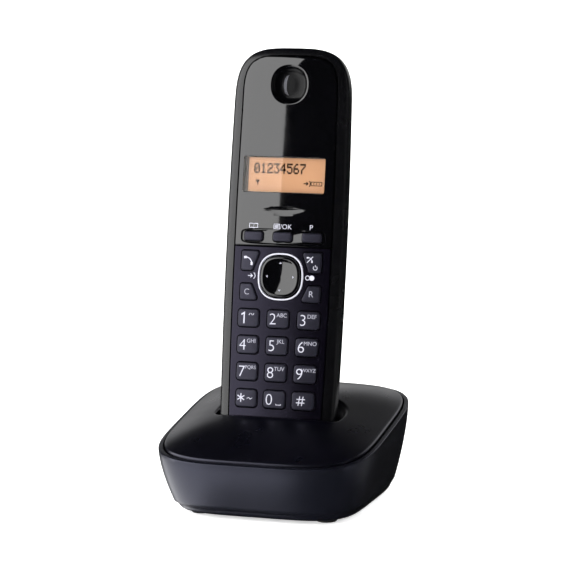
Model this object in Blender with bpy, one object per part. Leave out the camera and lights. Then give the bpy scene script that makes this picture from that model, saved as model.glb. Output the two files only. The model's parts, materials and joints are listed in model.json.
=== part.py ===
"""Cordless telephone: a handset standing in its charging base, built as separate solids.

Units are metres in Blender; every size below is in millimetres and is scaled by MM when a mesh is made.
Frame: +Z up, -Y is the front, origin on the table under the middle of the base.
The handset is modelled upright in its own frame and parented to an empty that leans back:
x runs across the face, y runs from the face to the back, z runs from the chin to the top.
"""

import math

import bmesh
import bpy
from mathutils import Matrix, Vector

MM = 0.001

# ---------------------------------------------------------------- base, driving sizes
BASE_WIDTH = 91.0
BASE_DEPTH = 98.4
BASE_TOP_POWER = 4.2  # corner squareness of the rim outline
BASE_FOOT_POWER = 4.6  # corner squareness of the underside outline
BASE_WALL = 1.8
BASE_DRAFT = 7.0  # how far each wall leans in between rim and underside
BASE_FOOT_SHIFT = 1.0  # the underside sits this far behind the rim
BASE_BOTTOM_ROUND = 3.2
RIM_HEIGHT = 32.7  # height of the rim plane at the middle of the base
RIM_SLOPE = 0.168  # the rim climbs towards the back
HILL_HEIGHT = 9.2  # how far the cover rises above the rim plane in the middle
HILL_POWER = 2.4
COVER_GAP = 0.4
COVER_THICK = 2.0
COVER_SKIRT = 4.0
COVER_SKIRT_DRAFT = 0.7
FOOT_HEIGHT = 1.5
FOOT_RADIUS = 4.5
FOOT_EDGE = 0.8  # from a foot to the rounded lower edge
WELL_WALL = 1.8
WELL_SIDE_GAP = 1.3
WELL_FLOOR_GAP = 0.8
WELL_DEPTH = 14.0
WELL_FLARE = 3.0  # how much the mouth opens out beside the handset
SCREW_HEAD_RADIUS = 2.6
PAGE_TRAVEL = 0.8
JACK_SPACING = 28.0
LINE_JACK_HALF_X = 6.8
LINE_JACK_HEIGHT = 12.4
POWER_JACK_HALF = 5.0
BOARD_HEIGHT = 9.0
BOARD_THICK = 1.2

# ---------------------------------------------------------------- handset, driving sizes
LEAN_DEG = 9.35
HANDSET_WIDTH = 50.4
HANDSET_TOP_SLIM = 4.0  # how much thinner the top is than the battery end
COMPONENT_ROOM = 3.9  # behind the circuit board
HANDSET_BARREL = 1.2  # how much narrower the ends are than the middle
CREST_DEPTH = 5.0  # from the face to the widest line of the body
FACE_POWER = 2.7
BACK_POWER = 2.2
TOP_CORNER = 24.0  # height of the rounded top end
TOP_POWER = 3.45
END_ROUND = 5.0
CASE_WALL = 2.0
SHOULDER = 4.65  # width of the case that shows beside the face panel
PANEL_TOP_MARGIN = 3.6
PANEL_CHIN_MARGIN = 4.0
PANEL_THICK = 1.8
PANEL_GAP = 0.35
SEAT_Y = -17.8  # handset frame origin on the base, at the chin
SEAT_Z = 25.2

# the stack of controls, from the chin up
CHIN = 20.0
KEY_ROW_PITCH = 10.86
ROWS = 4
COLUMNS = 3
NAV_ABOVE_KEYS = 17.2
SPLIT_ABOVE_NAV = 12.2
SOFT_ABOVE_SPLIT = 3.95
WINDOW_ABOVE_SOFT = 25.2
EARPIECE_ABOVE_WINDOW = 36.6
FOREHEAD = 15.3

KEYPAD_MARGIN = 3.5  # from the panel's edge to the outer keys
KEY_GAP = 3.1
COLUMN_LEAN_DEG = 1.2  # the outer columns draw together towards the chin
KEY_HEIGHT = 7.3
KEY_ROUND = 1.3
KEY_PROUD = 0.7
KEY_CLEARANCE = 0.35
KEY_TRAVEL = 0.5
KEY_BACK = 3.4  # depth of the keys' undersides
MAT_THICK = 0.9
SOFT_KEY_HEIGHT = 3.8
SOFT_TRAY_HEIGHT = 6.4
SOFT_TRAY_DEPTH = 0.8
NAV_RADIUS = 9.6
NAV_RING_WIDTH = 0.95
NAV_POWER = 2.5
WINDOW_MARGIN = 4.1
WINDOW_HEIGHT = 14.5
EARPIECE_WIDTH = 15.8
EARPIECE_HEIGHT = 14.8
EARPIECE_SLOT = 7.0
RIDGE_WIDTH = 16.5  # the shallow thumb dent under the display
RIDGE_HEIGHT = 2.6
RIDGE_DEPTH = 0.6
RIDGE_ABOVE_SOFT = 10.4

CELL_RADIUS = 5.25  # AAA cell
CELL_LENGTH = 44.5
CELL_CLEARANCE = 0.35
TRAY_WALL = 1.2
TRAY_CHIN = 27.0
CELL_ROOM = 1.4  # from the cells to the door
SPRING_ROOM = 3.2  # at each end of the cells
COVER_PLATE_HALF_WIDTH = 17.0
COVER_PLATE_OVERHANG = 8.0
COVER_PLATE_THICK = 1.7
CONTACT_SPACING = 17.0
CONTACT_WIDTH = 4.0
MIC_Z = 8.0
RECEIVER_RADIUS = 7.5
PART_GAP = 0.3  # between a fitting and the board that carries it

# ---------------------------------------------------------------- sizes that follow
LEAN = math.radians(LEAN_DEG)
BASE_HALF_X = BASE_WIDTH / 2
BASE_HALF_Y = BASE_DEPTH / 2
BASE_FLOOR = FOOT_HEIGHT
KEYPAD_TOP = CHIN + (ROWS - 1) * KEY_ROW_PITCH
NAV_Z = KEYPAD_TOP + NAV_ABOVE_KEYS
SPLIT_Z = NAV_Z + SPLIT_ABOVE_NAV
SOFT_Z = SPLIT_Z + SOFT_ABOVE_SPLIT
WINDOW_Z = SOFT_Z + WINDOW_ABOVE_SOFT
EARPIECE_Z = WINDOW_Z + EARPIECE_ABOVE_WINDOW
HANDSET_LENGTH = EARPIECE_Z + FOREHEAD
HALF_WIDTH = HANDSET_WIDTH / 2
PANEL_HALF = HALF_WIDTH - SHOULDER
PANEL_TOP = HANDSET_LENGTH - PANEL_TOP_MARGIN
KEYPAD_SPAN = 2 * (PANEL_HALF - KEYPAD_MARGIN)
KEY_WIDTH = (KEYPAD_SPAN - (COLUMNS - 1) * KEY_GAP) / COLUMNS
COLUMN_PITCH = KEY_WIDTH + KEY_GAP
KEYPAD_MIDDLE = CHIN + (ROWS - 1) * KEY_ROW_PITCH / 2
SOFT_KEY_WIDTH = KEY_WIDTH - 1.2
WINDOW_HALF = PANEL_HALF - WINDOW_MARGIN
MAT_FRONT = KEY_BACK + KEY_TRAVEL + 0.3
BOARD_FRONT = MAT_FRONT + MAT_THICK + 0.3
TRAY_FRONT = BOARD_FRONT + BOARD_THICK + COMPONENT_ROOM
CELL_Y = TRAY_FRONT + TRAY_WALL + CELL_CLEARANCE + CELL_RADIUS
HANDSET_THICK = CELL_Y + CELL_RADIUS + CELL_CLEARANCE + CELL_ROOM + COVER_PLATE_THICK
CELL_X = CELL_RADIUS + CELL_CLEARANCE
TRAY_HALF = 2 * CELL_X + TRAY_WALL
TRAY_LENGTH = CELL_LENGTH + 2 * TRAY_WALL + 2 * SPRING_ROOM
TRAY_TOP = TRAY_CHIN + TRAY_LENGTH
COVER_PLATE_LOW = TRAY_CHIN + 3.0
COVER_PLATE_TOP = TRAY_TOP + COVER_PLATE_OVERHANG

# ---------------------------------------------------------------- materials
FINISHES = {
    "satin_black": ((0.035, 0.035, 0.042), 0.42, 0.0),
    "gloss_black": ((0.008, 0.008, 0.010), 0.08, 0.0),
    "key_grey": ((0.045, 0.045, 0.055), 0.45, 0.0),
    "white_print": ((0.75, 0.76, 0.80), 0.35, 0.0),
    "clear_window": ((0.80, 0.62, 0.48), 0.05, 0.0),
    "amber_display": ((0.80, 0.52, 0.32), 0.30, 0.0),
    "circuit_green": ((0.03, 0.16, 0.07), 0.50, 0.0),
    "silicone_grey": ((0.30, 0.30, 0.32), 0.70, 0.0),
    "steel": ((0.62, 0.62, 0.60), 0.30, 1.0),
    "foot_rubber": ((0.03, 0.03, 0.03), 0.85, 0.0),
    "cell_wrap": ((0.10, 0.30, 0.16), 0.40, 0.0),
    "jack_black": ((0.02, 0.02, 0.02), 0.50, 0.0),
}


def make_material(name):
    """A Principled material from the FINISHES table."""
    colour, roughness, metallic = FINISHES[name]
    material = bpy.data.materials.new(name)
    material.use_nodes = True
    shader = material.node_tree.nodes["Principled BSDF"]
    shader.inputs["Base Color"].default_value = (*colour, 1.0)
    shader.inputs["Roughness"].default_value = roughness
    shader.inputs["Metallic"].default_value = metallic
    return material


# ---------------------------------------------------------------- mesh helpers
def signed_power(value, power):
    return math.copysign(abs(value) ** power, value)


def superellipse(half_x, half_y, power, count=48):
    """Points round a rounded-square outline, anticlockwise."""
    points = []
    for i in range(count):
        angle = 2 * math.pi * i / count
        x = half_x * signed_power(math.cos(angle), 2 / power)
        y = half_y * signed_power(math.sin(angle), 2 / power)
        points.append((x, y))
    return points


def rounded_polygon(corners, radius, steps=3):
    """The polygon's corners (anticlockwise) replaced by arcs."""
    points = []
    count = len(corners)
    for i in range(count):
        corner = Vector(corners[i])
        to_last = (Vector(corners[i - 1]) - corner).normalized()
        to_next = (Vector(corners[(i + 1) % count]) - corner).normalized()
        half = to_last.angle(to_next) / 2
        reach = radius / math.tan(half)
        centre = corner + (to_last + to_next).normalized() * radius / math.sin(half)
        start = corner + to_last * reach - centre
        end = corner + to_next * reach - centre
        turn = start.angle_signed(end)
        for k in range(steps + 1):
            spoke = start.copy()
            spoke.rotate(Matrix.Rotation(-turn * k / steps, 2))
            points.append(tuple(centre + spoke))
    return points


def rounded_rectangle(half_x, half_y, radius, steps=3):
    corners = [(-half_x, -half_y), (half_x, -half_y), (half_x, half_y), (-half_x, half_y)]
    return rounded_polygon(corners, radius, steps)


def grown(points, distance):
    """An outline moved outward by a distance, point by point."""
    result = []
    count = len(points)
    for i in range(count):
        before = Vector(points[i - 1])
        after = Vector(points[(i + 1) % count])
        along = (after - before).normalized()
        result.append((points[i][0] + along.y * distance, points[i][1] - along.x * distance))
    return result


def loft(rings):
    """A closed mesh through rings of equally many points, with flat caps; points in millimetres."""
    mesh = bmesh.new()
    made = [[mesh.verts.new(Vector(p) * MM) for p in ring] for ring in rings]
    count = len(rings[0])
    for lower, upper in zip(made, made[1:]):
        for i in range(count):
            j = (i + 1) % count
            mesh.faces.new((lower[i], lower[j], upper[j], upper[i]))
    mesh.faces.new(reversed(made[0]))
    mesh.faces.new(made[-1])
    bmesh.ops.recalc_face_normals(mesh, faces=mesh.faces)
    return mesh


def prism_z(outline, low, high, centre=(0, 0)):
    """An outline in the XY plane raised from low to high."""
    cx, cy = centre
    return loft([[(cx + x, cy + y, z) for x, y in outline] for z in (low, high)])


def prism_y(outline, front, back, centre=(0, 0)):
    """An outline in the face plane (across, up) run from front to back."""
    cx, cz = centre
    return loft([[(cx + x, y, cz + z) for x, z in outline] for y in (front, back)])


def box(low, high):
    (x0, y0, z0), (x1, y1, z1) = low, high
    return prism_z([(x0, y0), (x1, y0), (x1, y1), (x0, y1)], z0, z1)


def circle(radius, count=24):
    return superellipse(radius, radius, 2.0, count)


def cylinder_z(radius, low, high, centre=(0, 0), count=24):
    return prism_z(circle(radius, count), low, high, centre)


def cylinder_y(radius, front, back, centre=(0, 0), count=24):
    return prism_y(circle(radius, count), front, back, centre)


class Builder:
    """Makes objects, gives them materials and applies Booleans with hidden cutters."""

    def __init__(self):
        self.materials = {name: make_material(name) for name in FINISHES}
        self.helpers = bpy.data.collections.new("cutters")
        bpy.context.scene.collection.children.link(self.helpers)
        self.helpers.hide_render = True
        self.helper_count = 0

    def part(self, name, mesh, finish, parent=None, location=(0, 0, 0)):
        """An object from a bmesh, shaded smooth with sharp edges kept."""
        data = bpy.data.meshes.new(name)
        mesh.to_mesh(data)
        mesh.free()
        data.materials.append(self.materials[finish])
        data.shade_smooth()
        data.set_sharp_from_angle(angle=math.radians(35))
        obj = bpy.data.objects.new(name, data)
        obj.location = Vector(location) * MM
        obj.parent = parent
        bpy.context.scene.collection.objects.link(obj)
        return obj

    def helper(self, mesh, parent=None):
        self.helper_count += 1
        data = bpy.data.meshes.new(f"cutter_{self.helper_count}")
        mesh.to_mesh(data)
        mesh.free()
        obj = bpy.data.objects.new(data.name, data)
        obj.parent = parent
        obj.hide_render = True
        obj.display_type = "WIRE"
        self.helpers.objects.link(obj)
        return obj

    def combine(self, obj, mesh, operation="DIFFERENCE", parent=None):
        """A Boolean on obj with a helper made from mesh."""
        modifier = obj.modifiers.new(operation.lower(), "BOOLEAN")
        modifier.operation = operation
        modifier.solver = "EXACT"
        modifier.object = self.helper(mesh, parent)
        return obj


# ---------------------------------------------------------------- base shape
def rim_z(y):
    return RIM_HEIGHT + RIM_SLOPE * y


def wall_ring(share, inset=0.0, floor=None):
    """A ring of the base wall: share 0 is the underside's edge and 1 is the rim."""
    floor = BASE_FLOOR if floor is None else floor
    lean = BASE_DRAFT * (1 - share) ** 1.5
    shift = BASE_FOOT_SHIFT * (1 - share)
    power = BASE_FOOT_POWER + (BASE_TOP_POWER - BASE_FOOT_POWER) * share
    outline = superellipse(BASE_HALF_X - lean - inset, BASE_HALF_Y - lean - inset, power)
    return [(x, y + shift, floor + share * (rim_z(y + shift) - floor)) for x, y in outline]


def cover_z(x, y):
    """Height of the cover's outer surface."""
    radius = ((abs(x) / BASE_HALF_X) ** BASE_TOP_POWER + (abs(y) / BASE_HALF_Y) ** BASE_TOP_POWER) ** (
        1 / BASE_TOP_POWER
    )
    return rim_z(y) + HILL_HEIGHT * (1 - min(radius, 1.0) ** HILL_POWER)


def make_base_housing(build):
    """The tub: drafted walls, rounded lower edge, board posts, screw bosses and jack cut-outs."""
    floor_inner = BASE_FLOOR + BASE_WALL
    outer = []
    for k in range(4):
        angle = math.radians(90 * k / 4)
        inset = BASE_BOTTOM_ROUND * (1 - math.sin(angle))
        rise = BASE_BOTTOM_ROUND * (1 - math.cos(angle))
        ring = wall_ring(0.0, inset)
        outer.append([(x, y, z + rise) for x, y, z in ring])
    lift = BASE_BOTTOM_ROUND / (RIM_HEIGHT - BASE_FLOOR)
    outer += [wall_ring(share) for share in (lift * 1.4, 0.3, 0.5, 0.75, 1.0)]
    inner = [wall_ring(share, BASE_WALL) for share in (1.0, 0.75, 0.5, 0.3)]
    last = wall_ring(lift * 1.4, BASE_WALL + BASE_BOTTOM_ROUND * 0.3)
    inner.append([(x, y, max(floor_inner + 1.0, z)) for x, y, z in last])
    inner.append([(x * 0.97, y * 0.97, floor_inner) for x, y, z in last])
    housing = build.part("base_housing", loft(outer + inner), "satin_black")
    for x, y in BOARD_POSTS:
        build.combine(housing, cylinder_z(3.0, BASE_FLOOR + 0.5, BOARD_HEIGHT - 0.3, (x, y), 16), "UNION")
    for x, y in SCREW_PLACES:
        build.combine(housing, cylinder_z(3.4, BASE_FLOOR + 0.5, SCREW_BOSS_TOP, (x, y), 16), "UNION")
        build.combine(housing, cylinder_z(1.5, -1.0, SCREW_BOSS_TOP + 1, (x, y), 16))
        build.combine(housing, cylinder_z(SCREW_HEAD_RADIUS + 0.4, -1.0, SCREW_HEAD_TOP + 0.3, (x, y), 16))
    back = BASE_HALF_Y + 5
    x, z = LINE_JACK_PLACE
    hole = rounded_rectangle(LINE_JACK_HALF_X - 1.0, LINE_JACK_HEIGHT / 2 - 1.0, 0.8, 2)
    build.combine(housing, prism_y(hole, JACK_MOUTH_Y - 3.2, back, (x, z)))
    x, z = POWER_JACK_PLACE
    build.combine(housing, cylinder_y(POWER_JACK_HALF - 1.0, JACK_MOUTH_Y - 3.2, back, (x, z), 20))
    return housing


def make_base_cover(build, handset_frame):
    """The domed cover with the handset's well hanging under it."""
    shares = (0.12, 0.3, 0.48, 0.64, 0.78, 0.88, 0.95, 1.0)
    edge_x = BASE_HALF_X - BASE_WALL - COVER_GAP
    edge_y = BASE_HALF_Y - BASE_WALL - COVER_GAP

    def ring(share, drop, inset=0.0):
        outline = superellipse((edge_x - inset) * share, (edge_y - inset) * share, BASE_TOP_POWER)
        return [(x, y, cover_z(x, y) - drop) for x, y in outline]

    def skirt(inset):
        inset += COVER_SKIRT_DRAFT
        outline = superellipse(edge_x - inset, edge_y - inset, BASE_TOP_POWER)
        return [(x, y, rim_z(y) - COVER_SKIRT) for x, y in outline]

    rings = [ring(share, 0.0) for share in shares] + [skirt(0.0), skirt(COVER_THICK)]
    rings += [ring(share, COVER_THICK, COVER_THICK) for share in reversed(shares)]
    cover = build.part("base_cover", loft(rings), "gloss_black")
    # Block that becomes the well's walls: its top follows the cover just under the outer surface.
    outline = grown(body_section(CHIN), WELL_SIDE_GAP + WELL_WALL + WELL_FLARE)
    lean_shift = math.tan(LEAN) * WELL_DEPTH
    low_z = SEAT_Z - WELL_FLOOR_GAP - WELL_WALL - HANDSET_THICK * math.sin(LEAN)
    bottom = [(x, y * math.cos(LEAN) + SEAT_Y, low_z) for x, y in outline]
    top = [(x, y + lean_shift, cover_z(x, y + lean_shift) - COVER_THICK / 2) for x, y, _ in bottom]
    build.combine(cover, loft([bottom, top]), "UNION")
    cavity = [(-WELL_FLOOR_GAP, WELL_SIDE_GAP, 0.0)]
    cavity += [(END_ROUND * share, WELL_SIDE_GAP, 0.0) for share in (0.05, 0.2, 0.45, 0.8, 1.1)]
    cavity += [
        (WELL_DEPTH * 1.05, WELL_SIDE_GAP, WELL_FLARE * 0.5),
        (WELL_DEPTH * 1.4, WELL_SIDE_GAP * 1.6, WELL_FLARE * 1.3),
        (WELL_DEPTH * 2.4, WELL_SIDE_GAP * 2.0, WELL_FLARE * 2.2),
    ]
    rings = []
    for z, grow, side in cavity:
        section = grown(body_section(max(z, 0.0)), grow)
        middle = HANDSET_THICK / 2
        rings.append([(x + side * bulge(y, middle) * x / HALF_WIDTH, y, z) for x, y in section])
    build.combine(cover, loft(rings), "DIFFERENCE", handset_frame)
    for side in (-1, 1):
        x = side * CONTACT_SPACING / 2
        half = CONTACT_WIDTH / 2 + 0.6
        slot = box((x - half, CONTACT_Y - 3.4, -12), (x + half, CONTACT_Y + 3.4, 2))
        build.combine(cover, slot, "DIFFERENCE", handset_frame)
    button_hole = grown(page_button_outline(), 0.35)
    build.combine(cover, prism_z(button_hole, RIM_HEIGHT - 8, RIM_HEIGHT + 30, PAGE_BUTTON_PLACE))
    for x, y in SCREW_PLACES:
        post = cylinder_z(3.0, SCREW_BOSS_TOP + 0.4, cover_z(x, y) - COVER_THICK / 2, (x, y), 16)
        build.combine(cover, post, "UNION")
        build.combine(cover, cylinder_z(1.35, SCREW_BOSS_TOP - 1, SCREW_TIP + 0.5, (x, y), 16))
    return cover


def bulge(y, middle):
    """1 half way through the handset's thickness, easing to 0 at its face and its back."""
    return max(1 - ((y - middle) / middle) ** 2, 0.0)


def page_button_outline(margin=0.0):
    return superellipse(5.2 + margin, 3.0 + margin, 3.0, 28)


def make_page_button(build):
    """The handset-finder button: cap flush with the cover, stem down to its switch."""
    cx, cy = PAGE_BUTTON_PLACE
    outline = page_button_outline()
    top = [(cx + x, cy + y, cover_z(cx + x, cy + y) + 0.5) for x, y in outline]
    lower = [(cx + x, cy + y, cover_z(cx, cy) - COVER_THICK - 3.0) for x, y in outline]
    button = build.part("page_button", loft([lower, top]), "key_grey")
    low = SWITCH_TOP + PAGE_TRAVEL + 0.3
    build.combine(button, cylinder_z(1.6, low, cover_z(cx, cy) - COVER_THICK - 1, (cx, cy), 16), "UNION")
    return button


def make_base_fittings(build, handset_frame):
    """Board, shield, switch, jacks, feet, screws and the two sprung charging contacts."""
    board_top = BOARD_HEIGHT + BOARD_THICK
    left, right = -BOARD_HALF_X, BOARD_HALF_X
    front, back = BOARD_FRONT_Y, BOARD_BACK_Y
    board = rounded_polygon([(left, front), (right, front), (right, back), (left, back)], 2.0)
    build.part("base_circuit_board", prism_z(board, BOARD_HEIGHT, board_top), "circuit_green")
    shield = rounded_rectangle(12, 8, 1.0, 2)
    shield_low = board_top + PART_GAP
    shield_place = (-14, BOARD_FRONT_Y + 12)
    build.part("rf_shield", prism_z(shield, shield_low, shield_low + 3.0, shield_place), "steel")
    cx, cy = PAGE_BUTTON_PLACE
    switch = box((cx - 3, cy - 3, board_top + PART_GAP), (cx + 3, cy + 3, SWITCH_TOP))
    build.part("page_switch", switch, "jack_black")

    x, z = LINE_JACK_PLACE
    half_x, half_z = LINE_JACK_HALF_X, LINE_JACK_HEIGHT / 2
    jack = build.part(
        "line_jack",
        box((x - half_x, JACK_MOUTH_Y - 14, z - half_z), (x + half_x, JACK_MOUTH_Y, z + half_z)),
        "jack_black",
    )
    build.combine(jack, box((x - 5.0, JACK_MOUTH_Y - 11, z - 3.4), (x + 5.0, JACK_MOUTH_Y + 2, z + 3.2)))
    build.combine(jack, box((x - 2.0, JACK_MOUTH_Y - 8, z - 5.0), (x + 2.0, JACK_MOUTH_Y + 2, z - 3.0)))

    x, z = POWER_JACK_PLACE
    half = POWER_JACK_HALF
    shell = box((x - half, JACK_MOUTH_Y - 13, z - half), (x + half, JACK_MOUTH_Y, z + half))
    power = build.part("power_jack", shell, "jack_black")
    build.combine(power, cylinder_y(2.8, JACK_MOUTH_Y - 10, JACK_MOUTH_Y + 2, (x, z)))
    build.combine(power, cylinder_y(0.9, JACK_MOUTH_Y - 11, JACK_MOUTH_Y - 1.5, (x, z), 16), "UNION")

    for name, (x, y) in FOOT_PLACES.items():
        foot = loft(
            [
                [(x + px, y + py, z) for px, py in circle(FOOT_RADIUS - shrink)]
                for z, shrink in ((0.0, 0.5), (0.5, 0.0), (FOOT_HEIGHT - 0.3, 0.0))
            ]
        )
        build.part(f"foot_{name}", foot, "foot_rubber")
    for name, (x, y) in zip(("base_screw_left", "base_screw_right"), SCREW_PLACES):
        rings = [
            (SCREW_HEAD_TOP - 1.6, SCREW_HEAD_RADIUS - 0.4),
            (SCREW_HEAD_TOP - 1.2, SCREW_HEAD_RADIUS),
            (SCREW_HEAD_TOP, SCREW_HEAD_RADIUS),
            (SCREW_HEAD_TOP, 1.1),
            (SCREW_TIP - 0.6, 1.1),
            (SCREW_TIP, 0.4),
        ]
        turned = [[(x + px, y + py, z) for px, py in circle(r, 16)] for z, r in rings]
        screw = build.part(name, loft(turned), "steel")
        for turn in (0, 1):
            half = (1.6, 0.35) if turn else (0.35, 1.6)
            low = (x - half[0], y - half[1], SCREW_HEAD_TOP - 2.5)
            high = (x + half[0], y + half[1], SCREW_HEAD_TOP - 0.9)
            build.combine(screw, box(low, high))

    for side, name in ((-1, "left"), (1, "right")):
        x = side * CONTACT_SPACING / 2
        build.part(f"base_contact_{name}", contact_spring(x), "steel", handset_frame)


def contact_spring(x):
    """A bent leaf: foot, riser and a rounded crown that the handset's pad rests on (handset frame)."""
    thick = 0.4
    centre_line = []
    for k in range(9):
        angle = math.pi * (1 - k / 8)
        centre_line.append((CONTACT_Y + 2.2 * math.cos(angle), -2.7 + 2.2 * math.sin(angle)))
    centre_line = [(CONTACT_Y - 2.2, -8.0)] + centre_line + [(CONTACT_Y + 2.2, -4.6)]
    inner = grown_path(centre_line, thick)
    profile = centre_line + list(reversed(inner))
    half = CONTACT_WIDTH / 2
    return loft([[(px, y, z) for y, z in profile] for px in (x - half, x + half)])


def grown_path(path, distance):
    """An open path moved sideways by a distance."""
    result = []
    for i, point in enumerate(path):
        before = Vector(path[max(i - 1, 0)])
        after = Vector(path[min(i + 1, len(path) - 1)])
        along = (after - before).normalized()
        result.append((point[0] + along.y * distance, point[1] - along.x * distance))
    return result


# ---------------------------------------------------------------- handset shape
def arc_share(distance, reach, power):
    """1 before a rounded end starts, falling to 0 at its tip."""
    share = min(max(distance / reach, 0.0), 1.0)
    return (1 - share**power) ** (1 / power)


def half_width(z):
    middle = HANDSET_LENGTH / 2
    barrel = HANDSET_BARREL * ((z - middle) / middle) ** 2
    return (HALF_WIDTH - barrel) * arc_share(z - (HANDSET_LENGTH - TOP_CORNER), TOP_CORNER, TOP_POWER)


def back_depth(z):
    share = min(max((z - TRAY_TOP) / (HANDSET_LENGTH - TRAY_TOP), 0.0), 1.0)
    thick = HANDSET_THICK - HANDSET_TOP_SLIM * share * share * (3 - 2 * share)
    return (thick - CREST_DEPTH) * arc_share(z - (HANDSET_LENGTH - 20), 20.0, 2.5)


def front_height(z):
    return CREST_DEPTH * arc_share(z - (HANDSET_LENGTH - 16), 16.0, 3.0)


def chin_inset(z):
    below = max(END_ROUND - z, 0.0)
    return END_ROUND - math.sqrt(max(END_ROUND**2 - below**2, 0.0))


def body_section(z, inset=0.0, count=48):
    """The body's outline (across, depth) at a height, anticlockwise from the right side."""
    cut = chin_inset(z) + inset
    wide = max(half_width(z) - cut, 0.2)
    front = max(front_height(z) - 0.6 * chin_inset(z) - inset, 0.2)
    back = max(back_depth(z) - cut, 0.2)
    points = []
    for i in range(count):
        angle = 2 * math.pi * i / count
        c, s = math.cos(angle), math.sin(angle)
        power, deep = (BACK_POWER, back) if s > 0 else (FACE_POWER, front)
        points.append((wide * signed_power(c, 2 / power), CREST_DEPTH + deep * signed_power(s, 2 / power)))
    return points


def face_y(x, z):
    """Depth of the face at a place on it."""
    share = min(abs(x) / half_width(z), 1.0)
    height = front_height(z) - 0.6 * chin_inset(z)
    return CREST_DEPTH - height * (1 - share**FACE_POWER) ** (1 / FACE_POWER)


def body_heights(low, high, steps=9):
    """Heights of the body's rings: close together where the ends are rounded."""
    chin = [low + (END_ROUND - low) * (k / 3) ** 1.5 for k in range(4)]
    start = HANDSET_LENGTH - TOP_CORNER
    middle = [END_ROUND + (start - END_ROUND) * k / 5 for k in range(1, 6)]
    top = [start + (high - start) * math.sin(math.pi / 2 * k / steps) for k in range(1, steps + 1)]
    return chin + middle + top


def body_rings(inset=0.0):
    low, high = inset, HANDSET_LENGTH - 0.02
    stretch = TOP_CORNER / (TOP_CORNER - inset)
    start = HANDSET_LENGTH - TOP_CORNER
    rings = []
    for z in body_heights(low, high):
        height = z if z < start else start + (z - start) / stretch
        rings.append([(x, y, height) for x, y in body_section(z, inset)])
    return rings


def panel_half_width(z, gap=0.0):
    """Half the width of the face panels, gap added all round."""
    top = PANEL_TOP + gap
    chin = PANEL_CHIN_MARGIN - gap
    wide = half_width(min(z, HANDSET_LENGTH - TOP_CORNER)) - SHOULDER + gap
    wide *= arc_share(z - (HANDSET_LENGTH - TOP_CORNER), top - (HANDSET_LENGTH - TOP_CORNER), 4.0)
    return wide * arc_share(chin + 9.0 - z, 9.0, 3.5)


def panel_heights(low, high):
    """Heights of a panel's rows, close together in rounded ends."""
    rows = [low + (high - low) * k / 8 for k in range(9)]
    if high > HANDSET_LENGTH - TOP_CORNER:
        start = HANDSET_LENGTH - TOP_CORNER
        rows = [z for z in rows if z < start - 2]
        rows += [start + (high - 0.01 - start) * math.sin(math.pi / 2 * k / 7) for k in range(8)]
    if low < CHIN / 2:
        start = low + 9.0
        rows = [z for z in rows if z > start + 2]
        reach = start - low - 0.01
        rows = [start - reach * math.sin(math.pi / 2 * k / 5) for k in reversed(range(6))] + rows
    return rows


def face_plate(low, high, gap, front_offset, thickness, columns=12):
    """A crowned plate with the panel's outline between two heights."""
    mesh = bmesh.new()
    layers = []
    heights = panel_heights(low, high)
    for offset in (front_offset, front_offset + thickness):
        grid = []
        for z in heights:
            wide = panel_half_width(z, gap)
            row = []
            for k in range(columns + 1):
                x = wide * (2 * k / columns - 1)
                row.append(mesh.verts.new(Vector((x, face_y(x, z) + offset, z)) * MM))
            grid.append(row)
        layers.append(grid)
    front, back = layers
    for i in range(len(heights) - 1):
        for k in range(columns):
            mesh.faces.new((front[i][k], front[i][k + 1], front[i + 1][k + 1], front[i + 1][k]))
            mesh.faces.new((back[i][k], back[i + 1][k], back[i + 1][k + 1], back[i][k + 1]))
        for k in (0, columns):
            mesh.faces.new((front[i][k], front[i + 1][k], back[i + 1][k], back[i][k]))
    for row in (0, len(heights) - 1):
        for k in range(columns):
            mesh.faces.new((front[row][k], front[row][k + 1], back[row][k + 1], back[row][k]))
    bmesh.ops.recalc_face_normals(mesh, faces=mesh.faces)
    return mesh


def face_prism(outline, centre, proud, back, chamfer=0.25):
    """A key-like prism whose front follows the slope of the face, in its own centre's frame."""
    cx, cz = centre
    slope = (face_y(cx + 0.5, cz) - face_y(cx - 0.5, cz)) / 1.0
    surface = face_y(cx, cz) - proud
    inner = grown(outline, -chamfer)
    rings = [
        [(x, back, z) for x, z in outline],
        [(x, surface + slope * x + chamfer, z) for x, z in outline],
        [(x, surface + slope * x, z) for x, z in inner],
    ]
    return loft(rings)


def make_handset_case(build, frame):
    """The rear case: a shell open at the front, with the battery door opening behind."""
    case = build.part("handset_rear_case", loft(body_rings()), "satin_black", frame)
    build.combine(case, loft(body_rings(CASE_WALL)), "DIFFERENCE", frame)
    opening = face_plate(PANEL_CHIN_MARGIN - PANEL_GAP, PANEL_TOP + PANEL_GAP, PANEL_GAP, -4.0, 9.0)
    build.combine(case, opening, "DIFFERENCE", frame)
    door = battery_door_outline(PANEL_GAP)
    build.combine(case, prism_y(door, CREST_DEPTH + 6, HANDSET_THICK + 4, (0, DOOR_Z)), "DIFFERENCE", frame)
    for k in range(5):
        x = (k - 2) * 3.2
        slot = rounded_rectangle(0.7, 4.5 - abs(k - 2), 0.6, 2)
        cut = prism_y(slot, CREST_DEPTH + 6, HANDSET_THICK + 4, (x, RINGER_Z))
        build.combine(case, cut, "DIFFERENCE", frame)
    for side in (-1, 1):
        x = side * CONTACT_SPACING / 2
        half = CONTACT_WIDTH / 2 + 0.3
        slot = box((x - half, CONTACT_Y - 3.3, -2), (x + half, CONTACT_Y + 3.3, CASE_WALL + 1))
        build.combine(case, slot, "DIFFERENCE", frame)
    return case


def battery_door_outline(margin=0.0):
    half_z = (COVER_PLATE_TOP - COVER_PLATE_LOW) / 2 + margin
    return rounded_rectangle(COVER_PLATE_HALF_WIDTH + margin, half_z, 4.0)


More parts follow.
